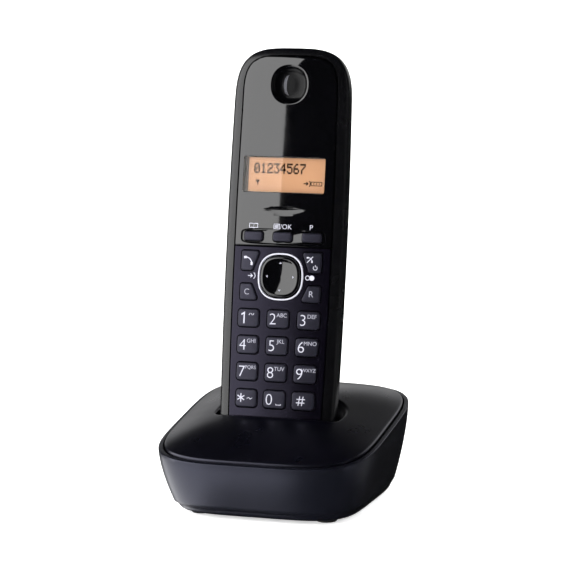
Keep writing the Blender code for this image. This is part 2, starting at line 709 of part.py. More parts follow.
def make_battery_parts(build, frame):
    """Door, tray, two AAA cells and their contacts."""
    door = build.part("battery_cover", loft(body_rings(0.02)), "satin_black", frame)
    build.combine(door, loft(body_rings(COVER_PLATE_THICK)), "DIFFERENCE", frame)
    window = prism_y(battery_door_outline(), CREST_DEPTH + 6.5, HANDSET_THICK + 3, (0, DOOR_Z))
    build.combine(door, window, "INTERSECT", frame)
    for k in range(5):
        z = COVER_PLATE_TOP - 6 - 1.8 * k
        groove = box((-6, HANDSET_THICK - 0.6, z - 0.4), (6, HANDSET_THICK + 2, z + 0.4))
        build.combine(door, groove, "DIFFERENCE", frame)

    low = (-TRAY_HALF, TRAY_FRONT, TRAY_CHIN)
    high = (TRAY_HALF, CELL_Y + 2.0, TRAY_TOP)
    tray = build.part("battery_tray", box(low, high), "jack_black", frame)
    wall = TRAY_WALL
    hollow = box((low[0] + wall, low[1] + wall, low[2] + wall), (high[0] - wall, high[1] + 5, high[2] - wall))
    build.combine(tray, hollow, "DIFFERENCE", frame)
    middle = (TRAY_CHIN + TRAY_TOP) / 2
    for side, name in ((-1, "left"), (1, "right")):
        rings = []
        profile = ((-0.5, 4.6), (-0.49, CELL_RADIUS), (0.482, CELL_RADIUS), (0.482, 1.9), (0.5, 1.9))
        for share, radius in profile:
            z = middle + side * share * CELL_LENGTH
            rings.append([(side * CELL_X + x, CELL_Y + y, z) for x, y in circle(radius, 20)])
        build.part(f"battery_cell_{name}", loft(rings), "cell_wrap", frame)
    plate = 0.5
    gap = 0.3
    top_z = TRAY_TOP - TRAY_WALL - gap
    low_z = TRAY_CHIN + TRAY_WALL + gap
    y0, y1 = CELL_Y - 3.5, CELL_Y + 3.0
    span = 2 * CELL_X - 1.5
    build.part("battery_bridge_contact", box((-span, y0, top_z - plate), (span, y1, top_z)), "steel", frame)
    for side, name in ((-1, "battery_contact_positive"), (1, "battery_contact_negative")):
        x = side * CELL_X
        contact = build.part(name, box((x - 3.8, y0, low_z), (x + 3.8, y1, low_z + plate)), "steel", frame)
        cone = loft(
            [
                [(x + px, CELL_Y + py, z) for px, py in circle(r, 16)]
                for z, r in ((low_z + plate / 2, 3.2), (middle - CELL_LENGTH / 2 - gap, 2.2))
            ]
        )
        build.combine(contact, cone, "UNION", frame)


def column_offset(z):
    """How far an outer column stands from the middle one at a height."""
    return COLUMN_PITCH + (z - KEYPAD_MIDDLE) * math.tan(math.radians(COLUMN_LEAN_DEG))


def key_layout():
    """Every push key: name, centre on the face, outline round that centre."""
    keys = []
    names = (("1", "2", "3"), ("4", "5", "6"), ("7", "8", "9"), ("star", "0", "hash"))
    outline = rounded_rectangle(KEY_WIDTH / 2, KEY_HEIGHT / 2, KEY_ROUND)
    for row in range(ROWS):
        for column in range(COLUMNS):
            z = KEYPAD_TOP - row * KEY_ROW_PITCH
            centre = ((column - 1) * column_offset(z), z)
            keys.append((f"key_{names[row][column]}", centre, outline))
    outer = COLUMN_PITCH + KEY_WIDTH / 2
    for side, upper, lower in ((-1, "talk_key", "clear_key"), (1, "off_key", "recall_key")):
        for name, sign, low, high, wide, narrow in (
            (upper, 1, 2.0, 10.2, 8.6, 5.4),
            (lower, -1, 3.2, 9.9, 8.6, 5.4),
        ):
            z0, z1 = NAV_Z + sign * low, NAV_Z + sign * high
            near, far = (outer - narrow, z0), (outer - wide, z1)
            corners = [(outer, z0), (outer, z1), far, near]
            corners = [(side * x, z) for x, z in corners]
            if side * sign < 0:
                corners.reverse()
            centre = (sum(x for x, _ in corners) / 4, sum(z for _, z in corners) / 4)
            local = [(x - centre[0], z - centre[1]) for x, z in corners]
            keys.append((name, centre, rounded_polygon(local, 0.9)))
    soft = rounded_rectangle(SOFT_KEY_WIDTH / 2, SOFT_KEY_HEIGHT / 2, 1.0)
    for column, name in enumerate(("soft_key_left", "soft_key_middle", "soft_key_right")):
        keys.append((name, ((column - 1) * COLUMN_PITCH, SOFT_Z), soft))
    return keys


def make_face(build, frame):
    """Upper gloss panel, satin keypad panel, all keys, the navigator and the display window."""
    split_gap = 0.15
    upper = build.part(
        "upper_face_panel",
        face_plate(SPLIT_Z + split_gap, PANEL_TOP, 0.0, 0.0, PANEL_THICK),
        "gloss_black",
        frame,
    )
    lower = build.part(
        "keypad_panel",
        face_plate(PANEL_CHIN_MARGIN, SPLIT_Z - split_gap, 0.0, 0.0, PANEL_THICK),
        "satin_black",
        frame,
    )
    window = rounded_rectangle(WINDOW_HALF + 0.3, WINDOW_HEIGHT / 2 + 0.3, 0.4, 2)
    build.combine(upper, prism_y(window, -3, 7, (0, WINDOW_Z)), "DIFFERENCE", frame)
    tray_half = COLUMN_PITCH + SOFT_KEY_WIDTH / 2 + 1.4
    tray = superellipse(tray_half, SOFT_TRAY_HEIGHT / 2, 6.0, 32)
    build.combine(upper, prism_y(tray, -3, SOFT_TRAY_DEPTH, (0, SOFT_Z)), "DIFFERENCE", frame)
    ridge = lens_outline(RIDGE_WIDTH / 2, RIDGE_HEIGHT / 2)
    build.combine(upper, prism_y(ridge, -3, RIDGE_DEPTH, (0, RIDGE_Z)), "DIFFERENCE", frame)
    dish_back = PANEL_THICK + 2.2
    pad = superellipse(EARPIECE_WIDTH / 2 + 1.2, EARPIECE_HEIGHT / 2 + 1.2, 2.2, 28)
    build.combine(upper, prism_y(pad, PANEL_THICK / 2 + 0.6, dish_back, (0, EARPIECE_Z)), "UNION", frame)
    dish = []
    for y, share in ((-3.0, 1.05), (0.3, 1.0), (1.4, 0.9), (2.2, 0.68), (2.6, 0.4)):
        outline = superellipse(EARPIECE_WIDTH / 2 * share, EARPIECE_HEIGHT / 2 * share, 2.2, 28)
        dish.append([(x, y, EARPIECE_Z + z) for x, z in outline])
    build.combine(upper, loft(dish), "DIFFERENCE", frame)
    slot = superellipse(1.3, EARPIECE_SLOT / 2, 2.6, 16)
    build.combine(upper, prism_y(slot, 0, dish_back + 2, (-0.5, EARPIECE_Z)), "DIFFERENCE", frame)

    lens = [(x, z) for x, z in rounded_rectangle(WINDOW_HALF, WINDOW_HEIGHT / 2, 0.6, 2)]
    build.part("display_window", crowned_lens(lens, WINDOW_Z), "clear_window", frame)

    for name, (x, z), outline in key_layout():
        panel = upper if name.startswith("soft") else lower
        proud = KEY_PROUD - SOFT_TRAY_DEPTH * 0.6 if name.startswith("soft") else KEY_PROUD
        cutter = prism_y(grown(outline, KEY_CLEARANCE), -3, KEY_BACK + 3, (x, z))
        build.combine(panel, cutter, "DIFFERENCE", frame)
        finish = "key_grey"
        build.part(name, face_prism(outline, (x, z), proud, KEY_BACK), finish, frame, (x, 0, z))

    hole = superellipse(NAV_RADIUS + 0.25, NAV_RADIUS + 0.25, NAV_POWER, 32)
    build.combine(lower, prism_y(hole, -3, 7, (0, NAV_Z)), "DIFFERENCE", frame)
    inner_radius = NAV_RADIUS - NAV_RING_WIDTH
    ring = build.part(
        "nav_ring",
        prism_y(superellipse(NAV_RADIUS, NAV_RADIUS, NAV_POWER, 32), -0.15, 1.9, (0, NAV_Z)),
        "white_print",
        frame,
    )
    hollow = superellipse(inner_radius, inner_radius, NAV_POWER, 32)
    build.combine(ring, prism_y(hollow, -3, 7, (0, NAV_Z)), "DIFFERENCE", frame)
    cap_radius = inner_radius - 0.35
    rings = []
    for y, share in ((1.7, 1.0), (-0.3, 1.0), (-0.8, 0.94), (-0.9, 0.75), (-0.75, 0.4)):
        outline = superellipse(cap_radius * share, cap_radius * share, NAV_POWER, 32)
        rings.append([(x, y - NAV_PIVOT_Y, z) for x, z in outline])
    build.part("nav_cap", loft(rings), "gloss_black", frame, (0, NAV_PIVOT_Y, NAV_Z))
    stem = cylinder_y(3.0, 2.0 - NAV_PIVOT_Y, 0.6, (0, 0), 20)
    build.part("nav_stem", stem, "silicone_grey", frame, (0, NAV_PIVOT_Y, NAV_Z))
    mic = cylinder_y(0.6, -3, 7, (0, MIC_Z), 12)
    build.combine(lower, mic, "DIFFERENCE", frame)


def lens_outline(half_x, half_z, steps=8):
    """A pointed oval, anticlockwise."""
    lower = [(half_x * (2 * k / steps - 1), -half_z * (1 - (2 * k / steps - 1) ** 2)) for k in range(steps)]
    return lower + [(-x, -z) for x, z in lower]


def crowned_lens(outline, centre_z):
    """A thin plate that follows the face's crown inside the window's outline."""
    mesh = bmesh.new()
    columns = 12
    half_z = max(z for _, z in outline)
    half_x = max(x for x, _ in outline)
    grids = []
    for offset in (0.05, 1.2):
        grid = []
        for z in (centre_z - half_z, centre_z + half_z):
            row = []
            for k in range(columns + 1):
                x = half_x * (2 * k / columns - 1)
                row.append(mesh.verts.new(Vector((x, face_y(x, centre_z) + offset, z)) * MM))
            grid.append(row)
        grids.append(grid)
    front, back = grids
    for k in range(columns):
        mesh.faces.new((front[0][k], front[0][k + 1], front[1][k + 1], front[1][k]))
        mesh.faces.new((back[0][k], back[1][k], back[1][k + 1], back[0][k + 1]))
        for row in (0, 1):
            mesh.faces.new((front[row][k], front[row][k + 1], back[row][k + 1], back[row][k]))
    for k in (0, columns):
        mesh.faces.new((front[0][k], front[1][k], back[1][k], back[0][k]))
    bmesh.ops.recalc_face_normals(mesh, faces=mesh.faces)
    return mesh


def make_handset_inside(build, frame):
    """Display, receiver, rubber mat, board, ringer, microphone, charge pads and screws."""
    lcd_half = WINDOW_HALF + 0.8
    lcd = box((-lcd_half, LCD_FRONT, WINDOW_Z - 9.5), (lcd_half, LCD_FRONT + 1.6, WINDOW_Z + 9.5))
    build.part("lcd_module", lcd, "amber_display", frame)
    receiver_front = PANEL_THICK + 2.6
    receiver = cylinder_y(RECEIVER_RADIUS, receiver_front, BOARD_FRONT - PART_GAP, (0, EARPIECE_Z))
    build.part("earpiece_receiver", receiver, "steel", frame)
    mat_half = PANEL_HALF - 1.6
    mat_top = SPLIT_Z + 7.0
    mat = box((-mat_half, MAT_FRONT, CHIN - 7), (mat_half, MAT_FRONT + MAT_THICK, mat_top))
    build.part("rubber_keypad", mat, "silicone_grey", frame)
    half = PANEL_HALF - 1
    outline = rounded_polygon(
        [(-half, CHIN - 8), (half, CHIN - 8), (half, BOARD_TOP), (-half, BOARD_TOP)], 3.0
    )
    board = prism_y(outline, BOARD_FRONT, BOARD_FRONT + BOARD_THICK)
    build.part("handset_circuit_board", board, "circuit_green", frame)
    ringer_y = CREST_DEPTH + back_depth(RINGER_Z + 10) - CASE_WALL - 1.8
    build.part("ringer_speaker", cylinder_y(9.0, ringer_y - 4.5, ringer_y, (0, RINGER_Z)), "steel", frame)
    capsule = cylinder_y(3.0, PANEL_THICK + 0.5, PANEL_THICK + 2.7, (0, MIC_Z), 20)
    build.part("microphone", capsule, "steel", frame)
    for side, name in ((-1, "left"), (1, "right")):
        x = side * CONTACT_SPACING / 2
        pad = box((x - CONTACT_WIDTH / 2, CONTACT_Y - 3, -0.1), (x + CONTACT_WIDTH / 2, CONTACT_Y + 3, 0.7))
        build.part(f"handset_contact_{name}", pad, "steel", frame)
        place = (side * HANDSET_SCREW_X, HANDSET_SCREW_Z)
        head_under = HANDSET_SCREW_Y - 1.3
        profile = ((HANDSET_SCREW_Y, 2.0), (head_under, 2.0), (head_under, 0.9), (BOARD_FRONT + 2.0, 0.9))
        turned = [[(place[0] + px, y, place[1] + pz) for px, pz in circle(r, 14)] for y, r in profile]
        screw = build.part(f"handset_screw_{name}", loft(turned), "steel", frame)
        low = (place[0] - 1.3, HANDSET_SCREW_Y - 0.6, place[1] - 0.3)
        high = (place[0] + 1.3, HANDSET_SCREW_Y + 1, place[1] + 0.3)
        cross = box(low, high)
        build.combine(screw, cross, "DIFFERENCE", frame)


# ---------------------------------------------------------------- places that follow from the sizes above
CONTACT_Y = CREST_DEPTH + 3.0
DOOR_Z = (COVER_PLATE_LOW + COVER_PLATE_TOP) / 2
RIDGE_Z = SOFT_Z + RIDGE_ABOVE_SOFT
RINGER_Z = COVER_PLATE_TOP + 18.0
BOARD_TOP = EARPIECE_Z + 4.0
LCD_FRONT = BOARD_FRONT - 0.4 - 1.6
NAV_PIVOT_Y = MAT_FRONT - 0.9
HANDSET_SCREW_X = (TRAY_HALF + HALF_WIDTH - CASE_WALL) / 2
HANDSET_SCREW_Z = TRAY_TOP - 6.0
HANDSET_SCREW_Y = TRAY_FRONT + 3.5
SCREW_HEAD_TOP = BASE_FLOOR + BASE_WALL + 1.2
SCREW_BOSS_TOP = BASE_FLOOR + BASE_WALL + 5.0
SCREW_TIP = SCREW_BOSS_TOP + 7.0
SCREW_PLACES = [(side * (BASE_HALF_X - 15.5), 4.0) for side in (-1, 1)]
BOARD_HALF_X = BASE_HALF_X - 20.0
BOARD_FRONT_Y = -BASE_HALF_Y + 12.0
BOARD_BACK_Y = BASE_HALF_Y - 13.0
BOARD_POST_ROWS = (BOARD_FRONT_Y + 4, BOARD_BACK_Y - 16)
BOARD_POSTS = [(side * (BOARD_HALF_X - 4), y) for side in (-1, 1) for y in BOARD_POST_ROWS]
PAGE_BUTTON_PLACE = (0.0, BASE_HALF_Y - 17.0)
SWITCH_TOP = BOARD_HEIGHT + BOARD_THICK + 4.0
JACK_FLOOR = BOARD_HEIGHT + BOARD_THICK + PART_GAP
LINE_JACK_PLACE = (JACK_SPACING / 2, JACK_FLOOR + LINE_JACK_HEIGHT / 2)
POWER_JACK_PLACE = (-JACK_SPACING / 2, JACK_FLOOR + POWER_JACK_HALF)
JACK_MOUTH_Y = BASE_HALF_Y - BASE_DRAFT - BASE_WALL - 0.9
FOOT_CORNER = 2 ** (-1 / BASE_FOOT_POWER)
FOOT_X = (BASE_HALF_X - BASE_DRAFT - BASE_BOTTOM_ROUND) * FOOT_CORNER - FOOT_RADIUS * 0.71 - FOOT_EDGE
FOOT_Y = (BASE_HALF_Y - BASE_DRAFT - BASE_BOTTOM_ROUND) * FOOT_CORNER - FOOT_RADIUS * 0.71 - FOOT_EDGE
FOOT_PLACES = {
    "front_left": (-FOOT_X, BASE_FOOT_SHIFT - FOOT_Y),
    "front_right": (FOOT_X, BASE_FOOT_SHIFT - FOOT_Y),
    "back_left": (-FOOT_X, BASE_FOOT_SHIFT + FOOT_Y),
    "back_right": (FOOT_X, BASE_FOOT_SHIFT + FOOT_Y),
}


def main():
    for obj in list(bpy.data.objects):
        bpy.data.objects.remove(obj)
    build = Builder()
    handset_frame = bpy.data.objects.new("handset_frame", None)
    handset_frame.location = Vector((0, SEAT_Y, SEAT_Z)) * MM
    handset_frame.rotation_euler = (-LEAN, 0, 0)
    bpy.context.scene.collection.objects.link(handset_frame)
    make_base_housing(build)
    make_base_cover(build, handset_frame)
    make_page_button(build)
    make_base_fittings(build, handset_frame)
    make_handset_case(build, handset_frame)
    make_battery_parts(build, handset_frame)
    make_face(build, handset_frame)
    make_handset_inside(build, handset_frame)


main()
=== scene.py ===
"""Cordless telephone standing in its charging base: the finished look of every piece."""

from __future__ import annotations

import json
import logging
import math
from collections.abc import Callable, Iterable, Sequence
from dataclasses import dataclass, field
from enum import Enum

import bmesh
import bpy
import numpy as np
from mathutils import Matrix, Vector


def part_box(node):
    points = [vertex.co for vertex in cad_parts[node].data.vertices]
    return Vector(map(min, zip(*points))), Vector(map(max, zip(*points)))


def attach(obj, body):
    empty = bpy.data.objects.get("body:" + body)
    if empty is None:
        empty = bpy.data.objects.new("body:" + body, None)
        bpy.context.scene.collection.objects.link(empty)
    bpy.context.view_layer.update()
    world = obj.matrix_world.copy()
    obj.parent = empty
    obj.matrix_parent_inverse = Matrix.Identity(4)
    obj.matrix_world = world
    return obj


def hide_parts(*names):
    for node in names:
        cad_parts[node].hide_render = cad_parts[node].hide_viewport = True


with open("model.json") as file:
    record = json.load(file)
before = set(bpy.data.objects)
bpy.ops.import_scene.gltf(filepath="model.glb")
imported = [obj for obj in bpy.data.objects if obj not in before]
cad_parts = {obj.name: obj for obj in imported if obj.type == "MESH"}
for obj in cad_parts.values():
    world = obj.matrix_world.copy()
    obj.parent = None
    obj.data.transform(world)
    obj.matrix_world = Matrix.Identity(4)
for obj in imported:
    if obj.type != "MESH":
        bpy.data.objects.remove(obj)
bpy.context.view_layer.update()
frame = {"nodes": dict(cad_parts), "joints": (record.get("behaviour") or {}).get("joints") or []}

LOG = logging.getLogger("cordless_phone")
MM = 0.001
Points = np.ndarray
Surface = Callable[[np.ndarray, np.ndarray], np.ndarray]


# ------------------------------------------------------------------ materials
def linear(hex_colour: str) -> tuple[float, float, float, float]:
    """Turn an sRGB hex colour into linear light.

    Args:
        hex_colour: Six hex digits, with or without a leading hash.

    Returns:
        Red, green, blue and an alpha of 1.
    """
    digits = hex_colour.lstrip("#")
    channels = [int(digits[i : i + 2], 16) / 255 for i in (0, 2, 4)]
    red, green, blue = (c / 12.92 if c <= 0.04045 else ((c + 0.055) / 1.055) ** 2.4 for c in channels)
    return red, green, blue, 1.0


def add_node(
    tree: bpy.types.NodeTree,
    kind: str,
    settings: dict[str, object] | None = None,
    inputs: dict[str | int, object] | None = None,
) -> bpy.types.Node:
    """Add one node with its settings, values and links.

    Args:
        tree: The node tree to add to.
        kind: The node's type name.
        settings: Properties set on the node itself.
        inputs: Socket name or index to a value, or to the output socket that feeds it.

    Returns:
        The new node.
    """
    node = tree.nodes.new(kind)
    for key, value in (settings or {}).items():
        setattr(node, key, value)
    for key, value in (inputs or {}).items():
        if isinstance(value, bpy.types.NodeSocket):
            tree.links.new(value, node.inputs[key])
        else:
            node.inputs[key].default_value = value
    return node


@dataclass(frozen=True)
class Finish:
    """A moulded or coated surface: colour, gloss and a fine surface grain.

    The grain gives a moulded skin its soft sparkle, the cloud keeps a large face from looking flat, and the
    two together spread a reflection the way a real tool-finished part does.
    """

    name: str
    colour: str
    colour_2: str
    roughness: float
    roughness_swing: float = 0.05
    metallic: float = 0.0
    ior: float = 1.5
    specular: float = 0.5
    sheen_tint: str = "#ffffff"
    coat: float = 0.0
    grain_mm: float = 0.6
    grain_depth: float = 0.05
    cloud_mm: float = 14.0
    emission: float = 0.0
    stretch: tuple[float, float, float] = (1.0, 1.0, 1.0)

    def build(self) -> bpy.types.Material:
        """Make the material, or return the one made before.

        Returns:
            The finished material.
        """
        known = bpy.data.materials.get(self.name)
        if known is not None:
            return known
        material = bpy.data.materials.new(self.name)
        material.use_nodes = True
        tree = material.node_tree
        tree.nodes.clear()
        place = add_node(tree, "ShaderNodeTexCoord").outputs["Object"]
        place = add_node(tree, "ShaderNodeMapping", {}, {"Vector": place, "Scale": self.stretch}).outputs[0]
        cloud = add_node(
            tree,
            "ShaderNodeTexNoise",
            {},
            {"Vector": place, "Scale": 1 / (self.cloud_mm * MM), "Detail": 3.0},
        )
        grain = add_node(
            tree,
            "ShaderNodeTexNoise",
            {},
            {"Vector": place, "Scale": 1 / (self.grain_mm * MM), "Detail": 2.0},
        )
        tint = add_node(
            tree,
            "ShaderNodeMix",
            {"data_type": "RGBA"},
            {"Factor": cloud.outputs["Fac"], 6: linear(self.colour), 7: linear(self.colour_2)},
        )
        low, high = self.roughness - self.roughness_swing, self.roughness + self.roughness_swing
        rough = add_node(
            tree,
            "ShaderNodeMapRange",
            {},
            {
                "Value": cloud.outputs["Fac"],
                "From Min": 0.3,
                "From Max": 0.7,
                "To Min": max(low, 0.01),
                "To Max": high,
            },
        )
        bump = add_node(
            tree,
            "ShaderNodeBump",
            {},
            {
                "Height": grain.outputs["Fac"],
                "Strength": self.grain_depth,
                "Distance": self.grain_mm * MM * 0.5,
            },
        )
        shader = add_node(
            tree,
            "ShaderNodeBsdfPrincipled",
            {},
            {
                "Base Color": self.pattern(tree, place, tint.outputs[2]),
                "Roughness": rough.outputs[0],
                "Normal": bump.outputs[0],
                "Metallic": self.metallic,
                "IOR": self.ior,
                "Specular IOR Level": self.specular,
                "Specular Tint": linear(self.sheen_tint),
                "Coat Weight": self.coat,
                "Coat Roughness": 0.04,
            },
        )
        if self.emission:
            tree.links.new(tint.outputs[2], shader.inputs["Emission Color"])
            shader.inputs["Emission Strength"].default_value = self.emission
        add_node(tree, "ShaderNodeOutputMaterial", {}, {"Surface": shader.outputs[0]})
        return material

    def pattern(
        self, tree: bpy.types.NodeTree, place: bpy.types.NodeSocket, tint: bpy.types.NodeSocket
    ) -> bpy.types.NodeSocket:
        """Return the colour socket; a finish with a printed pattern changes it here."""
        return tint


@dataclass(frozen=True)
class SolderMask(Finish):
    """Circuit board: green mask over copper tracks, seen as lighter lanes between darker gaps."""

    track_mm: float = 2.2
    track_edge: float = 0.55
    track: str = "#2f7a4c"

    def pattern(
        self, tree: bpy.types.NodeTree, place: bpy.types.NodeSocket, tint: bpy.types.NodeSocket
    ) -> bpy.types.NodeSocket:
        """Lay lighter tracks over the mask.

        Args:
            tree: The material's node tree.
            place: The texture coordinate.
            tint: The plain colour.

        Returns:
            The colour with tracks.
        """
        cells = add_node(
            tree,
            "ShaderNodeTexVoronoi",
            {"distance": "MANHATTAN", "feature": "F1"},
            {"Vector": place, "Scale": 1 / (self.track_mm * MM)},
        )
        distance = cells.outputs["Distance"]
        edge = add_node(
            tree, "ShaderNodeMath", {"operation": "GREATER_THAN"}, {0: distance, 1: self.track_edge}
        )
        lane = add_node(
            tree,
            "ShaderNodeMix",
            {"data_type": "RGBA"},
            {"Factor": edge.outputs[0], 6: tint, 7: linear(self.track)},
        )
        return lane.outputs[2]


@dataclass(frozen=True)
class BandedWrap(Finish):
    """Battery wrap: a printed film whose lower part is a second colour."""

    band: str = "#c9ccd0"
    band_from: float = 0.085

    def pattern(
        self, tree: bpy.types.NodeTree, place: bpy.types.NodeSocket, tint: bpy.types.NodeSocket
    ) -> bpy.types.NodeSocket:
        """Paint one band across the cell.

        Args:
            tree: The material's node tree.
            place: The texture coordinate.
            tint: The plain colour.

        Returns:
            The banded colour.
        """
        height = add_node(tree, "ShaderNodeSeparateXYZ", {}, {0: place}).outputs["Z"]
        upper = add_node(
            tree, "ShaderNodeMath", {"operation": "GREATER_THAN"}, {0: height, 1: self.band_from}
        )
        band = add_node(
            tree,
            "ShaderNodeMix",
            {"data_type": "RGBA"},
            {"Factor": upper.outputs[0], 6: tint, 7: linear(self.band)},
        )
        return band.outputs[2]


@dataclass(frozen=True)
class ClearAcrylic:
    """Clear acrylic with a thin anti-glare coat, which is why its IOR is under bare acrylic's 1.49."""

    name: str = "polished_clear_acrylic"
    tint: str = "#fff6ee"
    haze_mm: float = 9.0
    ior: float = 1.24

    def build(self) -> bpy.types.Material:
        """Make the window's material, with faint handling haze in its gloss.

        Returns:
            The finished material.
        """
        material = bpy.data.materials.new(self.name)
        material.use_nodes = True
        tree = material.node_tree
        tree.nodes.clear()
        place = add_node(tree, "ShaderNodeTexCoord").outputs["Object"]
        haze = add_node(tree, "ShaderNodeTexNoise", {}, {"Vector": place, "Scale": 1 / (self.haze_mm * MM)})
        rough = add_node(
            tree, "ShaderNodeMapRange", {}, {"Value": haze.outputs["Fac"], "To Min": 0.0, "To Max": 0.03}
        )
        shader = add_node(
            tree,
            "ShaderNodeBsdfPrincipled",
            {},
            {
                "Base Color": linear(self.tint),
                "Roughness": rough.outputs[0],
                "Transmission Weight": 1.0,
                "IOR": self.ior,
            },
        )
        add_node(tree, "ShaderNodeOutputMaterial", {}, {"Surface": shader.outputs[0]})
        return material


class Palette(Enum):
    """The finishes of the telephone."""

    # Satin moulded ABS with a fine spark-eroded skin: soft, wide highlights that never turn sharp.
    SATIN_ABS = Finish(
        "satin_moulded_abs", "#040406", "#060608", 0.26, 0.03, specular=0.3, grain_mm=0.35,
        grain_depth=0.06,
    )
    # The base's tub: the same ABS in a slightly bluer batch, with a wider glow from the table.
    TUB_ABS = Finish(
        "satin_abs_tub", "#08090f", "#0b0c13", 0.32, 0.03, sheen_tint="#d2d4f0", grain_mm=0.35,
        grain_depth=0.08,
    )
    # Piano-black ABS from a polished tool: mirror reflections, with the faintest waviness.
    PIANO_ABS = Finish(
        "polished_black_abs", "#020203", "#030304", 0.03, 0.01, grain_mm=9.0, grain_depth=0.001
    )
    # The earpiece's hollow: the same black, but etched, so that it swallows most reflections.
    DISH_ABS = Finish(
        "etched_black_abs_dish", "#020203", "#030304", 0.2, 0.03, specular=0.12, grain_mm=0.5,
        grain_depth=0.04,
    )
    # The base's cover: black with the soft haze of a handled surface.
    COVER_ABS = Finish(
        "hazed_black_abs_cover", "#030308", "#05050a", 0.3, 0.03, sheen_tint="#d4d4ee", grain_mm=0.6,
        grain_depth=0.02,
    )
    # Keypad plate: fine satin skin, nearly black by itself, that picks up a wide cool glow.
    PLATE_ABS = Finish(
        "satin_keypad_plate", "#040307", "#050409", 0.22, 0.03, specular=0.2, sheen_tint="#d6d0f4",
        grain_mm=0.35, grain_depth=0.06,
    )
    # Keycaps: drier than the plate, so each cap stands out of it.
    KEY_ABS = Finish(
        "satin_keycap_abs", "#131319", "#16161d", 0.36, 0.04, specular=0.24, sheen_tint="#dcd8f4",
        grain_mm=0.4, grain_depth=0.06,
    )
    # Pad-printed ink: thin, even and slightly chalky.
    INK = Finish(
        "pad_printed_white_ink", "#a6a6b1", "#9c9ca7", 0.6, 0.04, specular=0.2, grain_mm=0.3,
        grain_depth=0.05,
    )
    INK_SOFT = Finish(
        "pad_printed_grey_ink", "#8e8e99", "#84848f", 0.6, 0.04, specular=0.2, grain_mm=0.3,
        grain_depth=0.05,
    )
    # Pale, dull insert behind the earpiece's slot: its light grey is a painted highlight, standing in for the
    # glint in the slot.
    SLOT_PAINTED_HIGHLIGHT = Finish(
        "woven_earpiece_screen", "#5a5a5f", "#66666c", 0.8, 0.05, specular=0.2, grain_mm=0.25,
        grain_depth=0.5,
    )
    # The navigator's ring: glossy pale moulding, the one bright line on the face.
    RING_ABS = Finish(
        "gloss_white_abs_ring", "#b4b4be", "#a8a8b2", 0.24, 0.03, grain_mm=1.0, grain_depth=0.01
    )
    # Amber film lit from behind: even and matt, with a faint glow of its own.
    AMBER = Finish(
        "amber_backlit_film", "#a58468", "#ab8a6e", 0.6, 0.03, specular=0.0, grain_mm=0.8, grain_depth=0.02,
        emission=0.1,
    )
    # Liquid-crystal segments: flat dark marks with no gloss.
    SEGMENT = Finish(
        "display_segments", "#0c0705", "#120a07", 0.7, 0.03, specular=0.0, grain_mm=0.4, grain_depth=0.02
    )
    # Moulded silicone keymat, dull, made near-black as painted shade so that the gaps round the keys read as
    # black.
    SILICONE_PAINTED_SHADE = Finish(
        "moulded_black_silicone", "#0e0e10", "#131315", 0.65, 0.06, specular=0.2, grain_mm=0.7,
        grain_depth=0.15,
    )
    # Moulded rubber feet: rough and light-swallowing.
    RUBBER = Finish("moulded_black_rubber", "#0c0c0d", "#141415", 0.8, 0.05, grain_mm=0.5, grain_depth=0.25)
    # Nickel-plated steel, lightly brushed along one way.
    NICKEL = Finish(
        "brushed_nickel_plate", "#b9b7b0", "#cfcdc6", 0.26, 0.06, metallic=1.0, grain_mm=0.5,
        grain_depth=0.1, stretch=(1.0, 1.0, 6.0),
    )
    # Moulded nylon bodies: dull, slightly mottled black.
    NYLON = Finish("moulded_black_nylon", "#0d0d0e", "#151516", 0.5, 0.05, grain_mm=0.6, grain_depth=0.12)
    # Fibreglass board under green solder mask.
    BOARD = SolderMask("green_solder_mask", "#12492b", "#17593a", 0.4, 0.05, grain_mm=0.5, grain_depth=0.05)
    # Heat-shrunk printed film round each cell.
    WRAP = BandedWrap("printed_cell_film", "#1d6b3c", "#237746", 0.3, 0.04, grain_mm=1.0, grain_depth=0.03)
    # Clear window with an anti-glare coat: the film shows through, under a thin reflection.
    ACRYLIC = ClearAcrylic()


# ------------------------------------------------------------------ shape helpers
def power_curve(value: np.ndarray, power: float) -> np.ndarray:
    """Raise to a power and keep the sign."""
    return np.sign(value) * np.abs(value) ** power


def resample(points: Points, count: int) -> Points:
    """Spread points evenly along a closed outline.

    Args:
        points: The outline, without a repeated last point.
        count: How many points to return.

    Returns:
        The evenly spaced outline, starting at the same point.
    """
    closed = np.vstack([points, points[:1]])
    steps = np.linalg.norm(np.diff(closed, axis=0), axis=1)
    along = np.concatenate([[0], np.cumsum(steps)])
    wanted = np.linspace(0, along[-1], count, endpoint=False)
    return np.stack([np.interp(wanted, along, closed[:, k]) for k in range(closed.shape[1])], axis=1)


def superellipse(half_x: float, half_y: float, power: float, count: int = 96) -> Points:
    """A rounded-square outline, anticlockwise, evenly spaced.

    Args:
        half_x: Half its width.
        half_y: Half its height.
        power: 2 for an ellipse, more for squarer corners.
        count: How many points to return.

    Returns:
        The outline's points.
    """
    angle = np.linspace(0, 2 * math.pi, 1440, endpoint=False)
    across = half_x * power_curve(np.cos(angle), 2 / power)
    up = half_y * power_curve(np.sin(angle), 2 / power)
    return resample(np.stack([across, up], 1), count)


